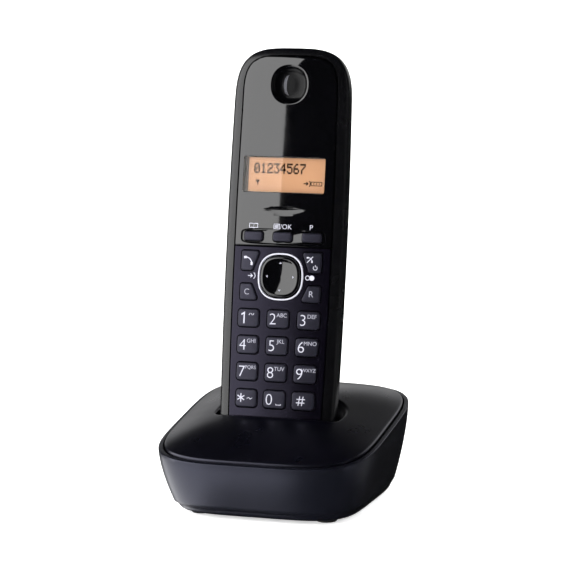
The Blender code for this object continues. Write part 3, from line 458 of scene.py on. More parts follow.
def rounded_polygon(corners: Sequence[tuple[float, float]], radius: float, steps: int = 6) -> Points:
    """A polygon whose corners are arcs.

    Args:
        corners: The corners, anticlockwise.
        radius: The arcs' radius.
        steps: Segments in each arc.

    Returns:
        The outline's points, anticlockwise.
    """
    result: list[np.ndarray] = []
    ring = np.array(corners, float)
    for k, corner in enumerate(ring):
        to_last = ring[k - 1] - corner
        to_next = ring[(k + 1) % len(ring)] - corner
        to_last /= np.linalg.norm(to_last)
        to_next /= np.linalg.norm(to_next)
        half = math.acos(float(np.clip(to_last @ to_next, -1, 1))) / 2
        middle = to_last + to_next
        centre = corner + middle / np.linalg.norm(middle) * radius / math.sin(half)
        start = corner + to_last * radius / math.tan(half) - centre
        begin = math.atan2(start[1], start[0])
        sweep = math.pi - 2 * half
        for step in range(steps + 1):
            angle = begin + sweep * step / steps
            result.append(centre + radius * np.array([math.cos(angle), math.sin(angle)]))
    return np.array(result)


def rounded_rectangle(half_x: float, half_y: float, radius: float) -> Points:
    """A rectangle with arcs for corners, anticlockwise.

    Args:
        half_x: Half its width.
        half_y: Half its height.
        radius: The radius of its corners.

    Returns:
        The outline's points.
    """
    corners = [(-half_x, -half_y), (half_x, -half_y), (half_x, half_y), (-half_x, half_y)]
    return rounded_polygon(corners, radius)


def offset(points: Points, distance: float) -> Points:
    """Move an anticlockwise outline outward, or inward for a negative distance.

    Args:
        points: The outline, anticlockwise.
        distance: How far to move it outward.

    Returns:
        The moved outline.
    """
    along = np.roll(points, -1, 0) - np.roll(points, 1, 0)
    along /= np.maximum(np.linalg.norm(along, axis=1, keepdims=True), 1e-9)
    return points + distance * np.stack([along[:, 1], -along[:, 0]], axis=1)


@dataclass
class MeshData:
    """Plain vertices in millimetres and faces, built up piece by piece."""

    vertices: list[np.ndarray] = field(default_factory=list)
    faces: list[tuple[int, ...]] = field(default_factory=list)
    count: int = 0

    def add(self, points: Points) -> int:
        """Append points and return the index of the first.

        Args:
            points: 3-D points in millimetres.

        Returns:
            The index of the first one added.
        """
        first = self.count
        self.vertices.append(np.asarray(points, float))
        self.count += len(points)
        return first

    def loft(self, rings: Sequence[Points], cap_start: bool = True, cap_end: bool = True) -> MeshData:
        """Join equal rings with quads.

        Args:
            rings: Rings of equally many 3-D points.
            cap_start: Whether to close the first ring.
            cap_end: Whether to close the last ring.

        Returns:
            This mesh.
        """
        starts = [self.add(ring) for ring in rings]
        size = len(rings[0])
        for low, high in zip(starts, starts[1:]):
            for i in range(size):
                j = (i + 1) % size
                self.faces.append((low + i, low + j, high + j, high + i))
        if cap_start:
            self.faces.append(tuple(starts[0] + i for i in reversed(range(size))))
        if cap_end:
            self.faces.append(tuple(starts[-1] + i for i in range(size)))
        return self

    def grid(self, rows: Sequence[Points], flip: bool = False) -> list[list[int]]:
        """Add a grid of quads and return its vertex indices by row.

        Args:
            rows: Equally long rows of 3-D points.
            flip: Whether to turn the faces round.

        Returns:
            The vertex indices, row by row.
        """
        index = []
        for row in rows:
            first = self.add(row)
            index.append(list(range(first, first + len(row))))
        for lower, upper in zip(index, index[1:]):
            for k in range(len(lower) - 1):
                quad = (lower[k], lower[k + 1], upper[k + 1], upper[k])
                self.faces.append(tuple(reversed(quad)) if flip else quad)
        return index


def flat_ring(outline: Points, depth: float | np.ndarray, centre: tuple[float, float] = (0, 0)) -> Points:
    """Place a face-plane outline (across, up) at a depth, as 3-D points.

    Args:
        outline: Points across and up.
        depth: Depth of all of them, or of each.
        centre: Where the outline's middle goes.

    Returns:
        The 3-D points.
    """
    x, z = outline[:, 0] + centre[0], outline[:, 1] + centre[1]
    return np.stack([x, np.broadcast_to(depth, x.shape), z], axis=1)


def face_prism(outline: Points, front: float, back: float, centre: tuple[float, float] = (0, 0)) -> MeshData:
    """A straight prism through the face plane."""
    return MeshData().loft([flat_ring(outline, depth, centre) for depth in (front, back)])


@dataclass(frozen=True)
class LeaningFrame:
    """The handset's own axes: across, inward from the face to the back, and upward along its length."""

    origin: np.ndarray
    axes: np.ndarray

    @classmethod
    def from_cad(cls) -> LeaningFrame:
        """Read the axes from the joints and set the origin on the chin, level with the keypad's face.

        Returns:
            The handset's frame.
        """
        joints = {joint["name"]: joint for joint in frame["joints"]}
        upward = np.array(joints["handset_lift"]["axis"], float)
        upward /= np.linalg.norm(upward)
        across = np.array([1.0, 0.0, 0.0])
        inward = np.cross(upward, across)
        loose = cls(np.zeros(3), np.stack([across, inward, upward]))
        chin = loose.local_box("handset_rear_case")[0][2]
        face = loose.local_box("keypad_panel")[0][1]
        return cls(np.array([0.0, face, chin]) @ loose.axes * MM, loose.axes)

    def local(self, points: Points) -> Points:
        """Row-frame metres to handset millimetres."""
        return (np.asarray(points) - self.origin) @ self.axes.T / MM

    def world(self, points: Points) -> Points:
        """Handset millimetres to row-frame metres."""
        return np.asarray(points) @ self.axes * MM + self.origin

    def local_box(self, node: str) -> tuple[np.ndarray, np.ndarray]:
        """The lowest and highest corner of a CAD node along the handset's axes, in millimetres.

        Args:
            node: The CAD node's name.

        Returns:
            The two corners.
        """
        vertices = frame["nodes"][node].data.vertices
        places = np.empty(len(vertices) * 3)
        vertices.foreach_get("co", places)
        local = self.local(places.reshape(-1, 3))
        return local.min(0), local.max(0)


class Workshop:
    """Turns mesh data into finished objects that ride on their bodies."""

    def __init__(self, lean: LeaningFrame) -> None:
        """Keep the handset's frame for pieces drawn in it."""
        self.lean = lean

    def mesh(self, name: str, data: MeshData, leaning: bool) -> bpy.types.Mesh:
        """Make a Blender mesh, with its normals facing out.

        Args:
            name: The mesh's name.
            data: Its shape, in millimetres.
            leaning: Whether the shape is drawn in the handset's frame.

        Returns:
            The new mesh.
        """
        points = np.vstack(data.vertices)
        places = self.lean.world(points) if leaning else points * MM
        mesh = bpy.data.meshes.new(name)
        mesh.from_pydata(places.tolist(), [], data.faces)
        edit = bmesh.new()
        edit.from_mesh(mesh)
        bmesh.ops.remove_doubles(edit, verts=edit.verts, dist=1e-7)
        bmesh.ops.recalc_face_normals(edit, faces=edit.faces)
        edit.to_mesh(mesh)
        edit.free()
        return mesh

    def piece(
        self,
        name: str,
        data: MeshData,
        finish: Palette,
        body: str,
        stands_for: Sequence[str] = (),
        cuts: Iterable[MeshData] = (),
        keep: MeshData | None = None,
        leaning: bool = True,
        sharp_deg: float = 35.0,
    ) -> bpy.types.Object:
        """Make one finished piece.

        Args:
            name: The piece's name.
            data: Its shape, in millimetres.
            finish: Its material.
            body: The CAD body it rides on.
            stands_for: CAD nodes that it replaces.
            cuts: Shapes cut out of it.
            keep: A shape outside which nothing stays.
            leaning: Whether the shape is drawn in the handset's frame.
            sharp_deg: Edges sharper than this stay crisp.

        Returns:
            The new object.
        """
        obj = bpy.data.objects.new(name, self.mesh(name, data, leaning))
        bpy.context.scene.collection.objects.link(obj)
        helpers = [(cut, "DIFFERENCE") for cut in cuts] + ([(keep, "INTERSECT")] if keep else [])
        for k, (shape, operation) in enumerate(helpers):
            helper = bpy.data.objects.new(f"{name}_cut_{k}", self.mesh(f"{name}_cut_{k}", shape, leaning))
            bpy.context.scene.collection.objects.link(helper)
            modifier = obj.modifiers.new(f"cut_{k}", "BOOLEAN")
            modifier.operation = operation
            modifier.solver = "EXACT"
            modifier.object = helper
        if helpers:
            bpy.context.view_layer.update()
            graph = bpy.context.evaluated_depsgraph_get()
            cut_mesh = bpy.data.meshes.new_from_object(obj.evaluated_get(graph))
            tools = [modifier.object for modifier in obj.modifiers]
            obj.modifiers.clear()
            obj.data = cut_mesh
            for tool in tools:
                bpy.data.objects.remove(tool)
        obj.data.shade_smooth()
        obj.data.set_sharp_from_angle(angle=math.radians(sharp_deg))
        obj.data.materials.clear()
        obj.data.materials.append(finish.value.build())
        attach(obj, body)
        if stands_for:
            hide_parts(*stands_for)
        LOG.info("%s: %d faces on %s", name, len(obj.data.polygons), body)
        return obj


# ------------------------------------------------------------------ printed legends
@dataclass(frozen=True)
class Printer:
    """Lays thin printed marks on a surface of the handset."""

    shop: Workshop
    thickness: float = 0.02

    def text(self, words: str, height: float, bold: float = 0.0) -> tuple[Points, list[tuple[int, ...]]]:
        """Turn words into flat outlines.

        Args:
            words: What to print.
            height: The height of a capital, in millimetres.
            bold: Extra stroke weight, in millimetres.

        Returns:
            Points (across, up, out) centred on the words, and their faces.
        """
        curve = bpy.data.curves.new("legend", "FONT")
        curve.body = words
        curve.size = height / 0.7
        curve.offset = bold
        curve.extrude = self.thickness / 2
        curve.resolution_u = 5
        obj = bpy.data.objects.new("legend", curve)
        bpy.context.scene.collection.objects.link(obj)
        bpy.context.view_layer.update()
        mesh = obj.evaluated_get(bpy.context.evaluated_depsgraph_get()).to_mesh()
        points = np.array([vertex.co[:] for vertex in mesh.vertices])
        faces = [tuple(polygon.vertices) for polygon in mesh.polygons]
        bpy.data.objects.remove(obj)
        bpy.data.curves.remove(curve)
        middle = (points.max(0) + points.min(0)) / 2
        return points - middle, faces

    def strokes(self, lines: Sequence[Sequence[tuple[float, float]]], width: float) -> MeshData:
        """Draw round-ended strokes as thin raised ribbons.

        Args:
            lines: Polylines across and up, in millimetres.
            width: Their width.

        Returns:
            The ribbons, with depth as the third column.
        """
        data = MeshData()
        for line in lines:
            path = np.array(line, float)
            steps = np.diff(path, axis=0)
            steps /= np.maximum(np.linalg.norm(steps, axis=1, keepdims=True), 1e-9)
            before, after = np.vstack([steps[:1], steps]), np.vstack([steps, steps[-1:]])
            if np.allclose(path[0], path[-1]):
                before[0], after[-1] = steps[-1], steps[0]
            along = before + after
            along /= np.maximum(np.linalg.norm(along, axis=1, keepdims=True), 1e-9)
            mitre = width / 2 / np.clip((along * after).sum(1, keepdims=True), 0.5, 1)
            side = np.stack([-along[:, 1], along[:, 0]], axis=1) * mitre
            t = self.thickness
            rings = [
                np.array([[*(p - q), -t], [*(p + q), -t], [*(p + q), t], [*(p - q), t]])
                for p, q in zip(path, side)
            ]
            data.loft(rings)
        return data

    def lay(
        self,
        name: str,
        marks: Sequence[tuple[Points, list[tuple[int, ...]], tuple[float, float]]],
        surface: Surface,
        body: str,
        finish: Palette = Palette.INK,
    ) -> bpy.types.Object:
        """Print marks on a surface.

        Args:
            name: The piece's name.
            marks: Points, faces and centre of each mark.
            surface: Depth of the surface at across and up.
            body: The body it rides on.
            finish: The ink.

        Returns:
            The printed piece.
        """
        data = MeshData()
        for points, faces, (x, z) in marks:
            across, up = points[:, 0] + x, points[:, 1] + z
            depth = surface(across, up) - self.thickness - points[:, 2]
            first = data.add(np.stack([across, depth, up], axis=1))
            data.faces += [tuple(first + i for i in face) for face in faces]
        return self.shop.piece(name, data, finish, body)


def marks_of(data: MeshData) -> tuple[Points, list[tuple[int, ...]]]:
    """The points and faces of a drawn mark."""
    return np.vstack(data.vertices), data.faces


def arc(
    radius: float, begin: float, end: float, steps: int = 14, centre: tuple[float, float] = (0, 0)
) -> list[tuple[float, float]]:
    """Points on a circular arc, angles in degrees.

    Args:
        radius: The arc's radius.
        begin: The angle at which it starts.
        end: The angle at which it ends.
        steps: How many points to return.
        centre: The arc's middle.

    Returns:
        The points.
    """
    angles = np.radians(np.linspace(begin, end, steps))
    return [(centre[0] + radius * math.cos(a), centre[1] + radius * math.sin(a)) for a in angles]


# ------------------------------------------------------------------ handset
@dataclass
class HandsetShape:
    """The handset's outer form in its own frame, in millimetres."""

    half_width: float
    length: float
    thick: float
    slim_from: float
    panel_half: float
    panel_top: float
    panel_chin: float
    crest: float = 5.0
    face_power: float = 2.7
    back_power: float = 2.2
    top_corner: float = 24.0
    top_power: float = 3.45
    top_slim: float = 4.0
    end_round: float = 5.0
    barrel: float = 1.2

    @classmethod
    def from_cad(cls, lean: LeaningFrame) -> HandsetShape:
        """Take the overall sizes from the CAD nodes.

        Args:
            lean: The handset's frame.

        Returns:
            The handset's outer form.
        """
        case_high = lean.local_box("handset_rear_case")[1]
        upper_high = lean.local_box("upper_face_panel")[1]
        lower_low, lower_high = lean.local_box("keypad_panel")
        return cls(
            half_width=float(case_high[0]),
            length=float(case_high[2]),
            thick=float(case_high[1]),
            slim_from=float(lean.local_box("battery_tray")[1][2]),
            panel_half=float(lower_high[0]),
            panel_top=float(upper_high[2]) + 0.01,
            panel_chin=float(lower_low[2]),
        )

    @staticmethod
    def ease(distance: np.ndarray, reach: float, power: float) -> np.ndarray:
        """1 before a rounded end begins, falling to 0 at its tip.

        Args:
            distance: How far past the start of the rounding.
            reach: The length of the rounding.
            power: 2 for an arc, more for a squarer end.

        Returns:
            The share of the full size.
        """
        share = np.clip(distance / reach, 0.0, 1.0)
        return (1 - share**power) ** (1 / power)

    def width_at(self, z: np.ndarray) -> np.ndarray:
        """Half the body's width at a height.

        Args:
            z: Height along the handset.

        Returns:
            Half the width.
        """
        middle = self.length / 2
        barrel = self.barrel * ((z - middle) / middle) ** 2
        rounding = self.ease(z - (self.length - self.top_corner), self.top_corner, self.top_power)
        return (self.half_width - barrel) * rounding

    def back_at(self, z: np.ndarray) -> np.ndarray:
        """Depth from the crest to the back at a height.

        Args:
            z: Height along the handset.

        Returns:
            The depth.
        """
        share = np.clip((z - self.slim_from) / (self.length - self.slim_from), 0, 1)
        thick = self.thick - self.top_slim * share * share * (3 - 2 * share)
        return (thick - self.crest) * self.ease(z - (self.length - 20), 20.0, 2.5)

    def front_at(self, z: np.ndarray) -> np.ndarray:
        """Depth from the face to the crest at a height, the chin's rounding included."""
        return self.crest * self.ease(z - (self.length - 16), 16.0, 3.0) - 0.6 * self.chin_cut(z)

    def chin_cut(self, z: np.ndarray) -> np.ndarray:
        """How far the rounded chin draws in at a height."""
        below = np.clip(self.end_round - z, 0, self.end_round)
        return self.end_round - np.sqrt(self.end_round**2 - below**2)

    def section(self, z: float, grow: float = 0.0, count: int = 168) -> Points:
        """The body's outline (across, depth) at a height, grown outward by a distance.

        Args:
            z: Height along the handset.
            grow: How far outward to grow it.
            count: How many points to return.

        Returns:
            The outline's points.
        """
        cut = float(self.chin_cut(np.array(z)))
        wide = max(float(self.width_at(np.array(z))) - cut + grow, 0.2)
        front = max(float(self.front_at(np.array(z))) + grow, 0.2)
        back = max(float(self.back_at(np.array(z))) - cut + grow, 0.2)
        angle = np.linspace(0, 2 * math.pi, 1200, endpoint=False)
        c, s = np.cos(angle), np.sin(angle)
        power = np.where(s > 0, self.back_power, self.face_power)
        deep = np.where(s > 0, back, front)
        across = wide * power_curve(c, 2 / power)
        depth = self.crest + deep * power_curve(s, 2 / power)
        return resample(np.stack([across, depth], axis=1), count)

    def face(self, x: np.ndarray, z: np.ndarray) -> np.ndarray:
        """Depth of the face at a place on it."""
        share = np.clip(np.abs(x) / self.width_at(z), 0, 1)
        return self.crest - self.front_at(z) * (1 - share**self.face_power) ** (1 / self.face_power)

    def body(self, inset: float = 0.0) -> MeshData:
        """The whole closed body, or the same drawn in by a wall.

        Args:
            inset: The wall's thickness, or 0 for the outside.

        Returns:
            The closed body.
        """
        start = self.length - self.top_corner
        chin = self.end_round * np.linspace(0, 1, 9) ** 1.5
        chin[0] = inset
        middle = np.linspace(self.end_round, start, 44)[1:]
        top = start + (self.top_corner - 0.02 - inset) * np.sin(np.linspace(0, math.pi / 2, 30))[1:]
        rings = []
        for z in np.concatenate([chin, middle, top]):
            reach = start + (z - start) * self.top_corner / (self.top_corner - inset) if z > start else z
            outline = self.section(min(reach, self.length - 0.02), -inset)
            rings.append(np.column_stack([outline, np.full(len(outline), z)]))
        return MeshData().loft(rings)

    def panel_width(self, z: np.ndarray, gap: float = 0.0) -> np.ndarray:
        """Half the width of the face panels at a height, with a gap added all round.

        Args:
            z: Height along the handset.
            gap: Growth past the panels' outline.

        Returns:
            Half the width.
        """
        start = self.length - self.top_corner
        shoulder = self.half_width - self.panel_half
        wide = self.width_at(np.minimum(z, start)) - shoulder + gap
        wide = wide * self.ease(z - start, self.panel_top + gap - start, 4.0)
        return wide * self.ease(self.panel_chin - gap + 9.0 - z, 9.0, 3.5)

    def plate(
        self, low: float, high: float, gap: float, front: float, thick: float, soft: float = 0.0
    ) -> MeshData:
        """A crowned plate with the panels' outline.

        Args:
            low: Its lower end.
            high: Its upper end.
            gap: Growth past the panels' outline.
            front: Depth of its front below the face.
            thick: Its thickness.
            soft: Radius of its rounded front edge.

        Returns:
            The closed plate.
        """
        start = self.length - self.top_corner
        heights = np.linspace(low, high, max(int((high - low) / 0.9), 8))
        if high > start:
            bend = start + (high - 0.01 - start) * np.sin(np.linspace(0, math.pi / 2, 26))
            heights = np.concatenate([heights[heights < start - 0.5], bend])
        if low < self.panel_chin + 1:
            bend = low + 9.0 - (9.0 - 0.01) * np.sin(np.linspace(0, math.pi / 2, 14))
            heights = np.concatenate([bend[::-1], heights[heights > low + 9.5]])
        if soft:
            ends = soft * np.array([0.1, 0.35, 0.7, 1.1])
            heights = np.unique(np.concatenate([heights, low + ends, high - ends]))
        share = np.sin(np.linspace(-math.pi / 2, math.pi / 2, 71))
        share = 0.55 * share + 0.45 * np.linspace(-1, 1, 71)
        rows_front, rows_back = [], []
        for z in heights:
            wide = float(self.panel_width(np.array(z), gap))
            x = wide * share
            depth = self.face(x, np.full_like(x, z))
            drop = np.zeros_like(x)
            if soft:
                edge = np.minimum(np.minimum(wide - np.abs(x), high - z), z - low)
                reach = np.clip(1 - edge / soft, 0, 1)
                drop = soft * (1 - np.sqrt(np.clip(1 - reach**2, 0, 1)))
            rows_front.append(np.stack([x, depth + front + drop, np.full_like(x, z)], axis=1))
            rows_back.append(np.stack([x, depth + front + thick, np.full_like(x, z)], axis=1))
        data = MeshData()
        face = data.grid(rows_front)
        back = data.grid(rows_back, flip=True)
        for a, b in ((face[0], back[0]), (face[-1], back[-1])):
            data.faces += [(a[k], a[k + 1], b[k + 1], b[k]) for k in range(len(a) - 1)]
        for k in (0, -1):
            column_a, column_b = [row[k] for row in face], [row[k] for row in back]
            data.faces += [
                (column_a[i], column_a[i + 1], column_b[i + 1], column_b[i]) for i in range(len(column_a) - 1)
            ]
        return data


@dataclass
class Key:
    """One push key: where it stands, its outline and how proud it is."""

    node: str
    centre: tuple[float, float]
    outline: Points
    proud: float
    back: float
    pillow: float = 0.16
    round: float = 0.55

    def surface(self, shape: HandsetShape) -> Surface:
        """The key's top, a little pillowed, as a depth over across and up.

        Args:
            shape: The handset's outer form.

        Returns:
            A function giving the depth.
        """
        half_x = float(np.abs(self.outline[:, 0]).max())
        half_z = float(np.abs(self.outline[:, 1]).max())

        def depth(x: np.ndarray, z: np.ndarray) -> np.ndarray:
            """Depth of the pillowed top."""
            u, v = (x - self.centre[0]) / half_x, (z - self.centre[1]) / half_z
            fall = self.pillow * (np.clip(u * u, 0, 1) + np.clip(v * v, 0, 1)) / 2
            return shape.face(x, z) - self.proud + fall

        return depth

    def mesh(self, shape: HandsetShape) -> MeshData:
        """The keycap: straight skirt, rounded shoulder and pillowed top.

        Args:
            shape: The handset's outer form.

        Returns:
            The closed keycap.
        """
        top = self.surface(shape)
        rings = [flat_ring(self.outline, self.back, self.centre)]
        for share in (1.0, 0.6, 0.3, 0.1, 0.0):
            angle = math.pi / 2 * (1 - share)
            outline = offset(self.outline, -self.round * (1 - math.cos(angle)))
            ring = flat_ring(outline, 0.0, self.centre)
            ring[:, 1] = top(ring[:, 0], ring[:, 2]) + self.round * (1 - math.sin(angle))
            rings.append(ring)
        last = offset(self.outline, -self.round)
        for scale in (0.75, 0.5, 0.25, 0.04):
            ring = flat_ring(last * scale, 0.0, self.centre)
            ring[:, 1] = top(ring[:, 0], ring[:, 2])
            rings.append(ring)
        return MeshData().loft(rings)


@dataclass
class Handset:
    """The handset: case, face panels, keys, navigator, display and battery door."""

    shop: Workshop
    lean: LeaningFrame
    shape: HandsetShape
    wall: float = 2.0
    gap: float = 0.35
    panel_thick: float = 1.8
    key_clearance: float = 0.4
    key_round: float = 1.5
    ring_power: float = 2.5
    ring_width: float = 0.68
    tray_depth: float = 0.8
    tray_margin: float = 1.4
    dent_half: float = 2.0
    dent_reach: float = 12.6
    ear_half: tuple[float, float] = (7.1, 7.2)
    window_reveal: float = 1.6
    door_round: float = 4.0

    def build(self) -> None:
        """Build every visible piece of the handset."""
        self.printer = Printer(self.shop)
        self.keys = self.read_keys()
        self.build_case()
        self.build_upper_panel()
        self.build_keypad_panel()
        self.build_keys()
        self.build_navigator()
        self.build_display()
        self.build_door()
        self.print_panels()

    def centre_of(self, node: str) -> tuple[float, float]:
        """A CAD node's middle across and up."""
        low, high = self.lean.local_box(node)
        return float(low[0] + high[0]) / 2, float(low[2] + high[2]) / 2

    def half_of(self, node: str) -> tuple[float, float]:
        """Half a CAD node's size across and up."""
        low, high = self.lean.local_box(node)
        return float(high[0] - low[0]) / 2, float(high[2] - low[2]) / 2

    def read_keys(self) -> dict[str, Key]:
        """Read every key's place and outline from its CAD node.

        Returns:
            Each key, under its CAD node's name.
        """
        keys: dict[str, Key] = {}
        nav_z = self.centre_of("nav_ring")[1]
        for node in frame["nodes"]:
            if not (node.startswith(("key_", "soft_key_")) or node.endswith("_key")):
                continue
            low, high = self.lean.local_box(node)
            centre, (half_x, half_z) = self.centre_of(node), self.half_of(node)
            proud = float(self.shape.face(np.array(centre[0]), np.array(centre[1])) - low[1])
            if node.startswith("soft"):
                outline = rounded_rectangle(half_x, half_z, 1.0)
            elif node.startswith("key_"):
                outline = rounded_rectangle(half_x, half_z, self.key_round)
            else:
                side = math.copysign(1.0, centre[0])
                away = math.copysign(1.0, centre[1] - nav_z)
                reach = 2 * half_x
                near = half_x - reach * 5.4 / 8.6
                corners = [(half_x, -half_z), (half_x, half_z), (-half_x, half_z), (near, -half_z)]
                corners = [(side * x, away * z) for x, z in corners]
                outline = rounded_polygon(corners if side * away > 0 else corners[::-1], 1.0)
            keys[node] = Key(node, centre, outline, min(proud, 0.75), float(high[1]))
        return keys

    def build_case(self) -> None:
        """The moulded case, open where the panels, door, grille and charging pads are."""
        shape = self.shape
        opening = shape.plate(shape.panel_chin - self.gap, shape.panel_top + self.gap, self.gap, -4.0, 9.0)
        cuts = [shape.body(self.wall), opening, self.door_prism(self.gap)]
        ringer_x, ringer_z = self.centre_of("ringer_speaker")
        for k in range(-3, 4):
            slot = rounded_rectangle(0.55, 5.2 - 0.9 * abs(k), 0.5)
            cuts.append(face_prism(slot, shape.crest + 6, shape.thick + 4, (ringer_x + 2.3 * k, ringer_z)))
        for side in ("left", "right"):
            low, high = self.lean.local_box(f"handset_contact_{side}")
            x, y = (low[0] + high[0]) / 2, (low[1] + high[1]) / 2
            half_x, half_y = float(high[0] - low[0]) / 2, float(high[1] - low[1]) / 2
            outline = rounded_rectangle(half_x + 0.3, half_y + 0.3, 0.5) + (x, y)
            rings = [np.column_stack([outline, np.full(len(outline), z)]) for z in (-2.0, self.wall + 1)]
            cuts.append(MeshData().loft(rings))
        self.shop.piece("case", shape.body(), Palette.SATIN_ABS, "handset", ["handset_rear_case"], cuts)

    def door_prism(self, margin: float) -> MeshData:
        """The straight block that marks the battery door.

        Args:
            margin: Growth past the door's outline.

        Returns:
            The closed block.
        """
        low, high = self.lean.local_box("battery_cover")
        half_x, half_z = float(high[0]), float(high[2] - low[2]) / 2
        outline = rounded_rectangle(half_x + margin, half_z + margin, self.door_round)
        middle = (0, float(high[2] + low[2]) / 2)
        return face_prism(outline, self.shape.crest + 6.2, self.shape.thick + 4, middle)

    def build_door(self) -> None:
        """The battery door with its thumb grooves."""
        high = self.lean.local_box("battery_cover")[1]
        cuts = [self.shape.body(1.7)]
        for k in range(6):
            groove = rounded_rectangle(7.0 - 0.5 * k, 0.42, 0.4)
            y = self.shape.thick
            cuts.append(face_prism(groove, y - 0.6, y + 2, (0, float(high[2]) - 5.5 - 1.7 * k)))
        self.shop.piece(
            "battery_door", self.shape.body(0.02), Palette.SATIN_ABS, "battery_door", ["battery_cover"], cuts,
            keep=self.door_prism(0.0),
        )

    def build_upper_panel(self) -> None:
        """The polished panel with its window, key tray, thumb dent and earpiece dish."""
        shape = self.shape
        low, high = self.lean.local_box("upper_face_panel")
        plate = shape.plate(float(low[2]), float(high[2]), 0.0, 0.0, self.panel_thick, soft=0.45)
        cuts = []
        half_x, half_z = self.half_of("display_window")
        centre = self.centre_of("display_window")
        reveal = self.window_reveal / 2
        hole = rounded_rectangle(half_x + reveal + 0.12, half_z + 0.12, 0.9)
        cuts.append(face_prism(hole, -3, 7, (centre[0] - reveal, centre[1])))
        soft = [key for node, key in self.keys.items() if node.startswith("soft")]
        reach = max(abs(key.centre[0]) + np.abs(key.outline[:, 0]).max() for key in soft) + self.tray_margin
        tray_z = soft[0].centre[1]
        half_tray = float(np.abs(soft[0].outline[:, 1]).max()) + 1.25
        tray = superellipse(reach, half_tray, 5.0, 120)
        rings = []
        for depth, grow in ((-2.0, 1.2), (-0.05, 0.15), (0.25, 0.0), (0.6, -0.12), (self.tray_depth, -0.45)):
            outline = offset(tray, grow)
            crown = shape.face(outline[:, 0], np.full(len(outline), tray_z)) if depth > -1 else 0.0
            rings.append(flat_ring(outline, depth + crown, (0, tray_z)))
        cuts.append(MeshData().loft(rings))
        cuts += [self.key_hole(key) for key in soft]
        cuts.append(self.thumb_dent(tray_z + 10.4))
        ear = self.centre_of("earpiece_receiver")
        cuts.append(self.earpiece_hole(ear))
        self.shop.piece(
            "upper_panel", plate, Palette.PIANO_ABS, "handset", ["upper_face_panel"], cuts, sharp_deg=28.0
        )
        self.build_earpiece(ear)

    def thumb_dent(self, z: float) -> MeshData:
        """A shallow pointed-oval dent.

        Args:
            z: Height of its middle.

        Returns:
            The shape to cut from the panel.
        """
        across = np.linspace(-1, 1, 33)
        lower = np.stack([self.dent_reach * across, -self.dent_half * (1 - across**2)], axis=1)[:-1]
        outline = np.vstack([lower, -lower])
        rings = [flat_ring(outline * (1.4, 1.8), -1.0, (0, z)), flat_ring(outline, 0.02, (0, z))]
        for scale, depth, rise in ((0.85, 0.12, 0.5), (0.7, 0.2, 0.85), (0.4, 0.22, 0.95)):
            rings.append(flat_ring(outline * (scale, 0.5 * scale), depth, (0, z + rise)))
        return MeshData().loft(rings)

    def earpiece_hole(self, centre: tuple[float, float]) -> MeshData:
        """The straight hole that the earpiece's ring fills."""
        return face_prism(offset(superellipse(*self.ear_half, 2.25, 96), 0.93), -1.5, 6.0, centre)

    def build_earpiece(self, centre: tuple[float, float]) -> None:
        """The rolled ring, the dish inside it and the sound slot.

        Args:
            centre: The earpiece's middle, across and up.
        """
        rim = superellipse(*self.ear_half, 2.25, 96)
        rolled = (
            (0.9, 2.4), (0.9, 0.02), (0.62, 0.06), (0.36, 0.17), (0.15, 0.35), (0.02, 0.62), (0.02, 2.4)
        )
        rings = []
        for grow, depth in rolled:
            outline = offset(rim, grow) + centre
            crown = self.shape.face(outline[:, 0], outline[:, 1]) if depth < 1 else 0.0
            rings.append(flat_ring(outline, depth + crown))
        ring = MeshData().loft(rings + rings[:1], False, False)
        self.shop.piece("earpiece_ring", ring, Palette.PIANO_ABS, "handset", sharp_deg=30.0)
        profile = ((0.0, 0.7), (-0.25, 1.1), (-0.7, 1.52), (-1.3, 1.88), (-2.1, 2.12), (-3.0, 2.2))
        front = [flat_ring(offset(rim, grow), depth, centre) for grow, depth in profile]
        floor = offset(rim, -3.0)
        front += [flat_ring(floor * scale, 2.2 - 0.02 * k, centre) for k, scale in enumerate((0.7, 0.4, 0.1))]
        data = MeshData().loft([flat_ring(rim, 3.2, centre), *front])
        slot = face_prism(superellipse(2.5, 4.1, 2.3, 40), 0.0, 6.0, (centre[0] - 1.0, centre[1]))
        self.shop.piece("earpiece_dish", data, Palette.DISH_ABS, "handset", cuts=[slot], sharp_deg=24.0)
        # A pale insert behind the slot: painted highlight for the slot's glint.
        slot_highlight = face_prism(superellipse(2.7, 4.4, 2.4, 40), 3.25, 3.5, (centre[0] - 1.1, centre[1]))
        self.shop.piece("earpiece_screen", slot_highlight, Palette.SLOT_PAINTED_HIGHLIGHT, "handset")
        grille = face_prism(superellipse(2.0, 4.3, 2.3, 40), 2.75, 3.2, (centre[0] - 0.1, centre[1]))
        self.shop.piece("earpiece_grille", grille, Palette.DISH_ABS, "handset")

    def key_hole(self, key: Key) -> MeshData:
        """The hole that a key moves in."""
        return face_prism(offset(key.outline, self.key_clearance), -3, key.back + 3, key.centre)

    def build_keypad_panel(self) -> None:
        """The satin plate round the keys."""
        low, high = self.lean.local_box("keypad_panel")
        plate = self.shape.plate(float(low[2]), float(high[2]), 0.0, 0.0, self.panel_thick, soft=0.5)
        cuts = [self.key_hole(key) for node, key in self.keys.items() if not node.startswith("soft")]
        half = self.half_of("nav_ring")[0]
        hole = superellipse(half + 0.2, half + 0.2, self.ring_power)
        cuts.append(face_prism(hole, -3, 7, self.centre_of("nav_ring")))
        cuts.append(face_prism(superellipse(0.5, 0.5, 2.0, 24), -3, 7, self.centre_of("microphone")))
        self.shop.piece("keypad_plate", plate, Palette.PLATE_ABS, "handset", ["keypad_panel"], cuts)

    def build_keys(self) -> None:
        """Every keycap with its printed legend."""
        letters = {
            "1": "", "2": "ABC", "3": "DEF", "4": "GHI", "5": "JKL",
            "6": "MNO", "7": "PQRS", "8": "TUV", "9": "WXYZ",
            "0": "", "star": "", "hash": "",
        }
        for node, key in self.keys.items():
            self.shop.piece(f"cap_{node}", key.mesh(self.shape), Palette.KEY_ABS, node, [node])
            label = node.removeprefix("key_")
            if label in letters:
                self.print_digit(key, label, letters[label])
        self.print_function_keys()

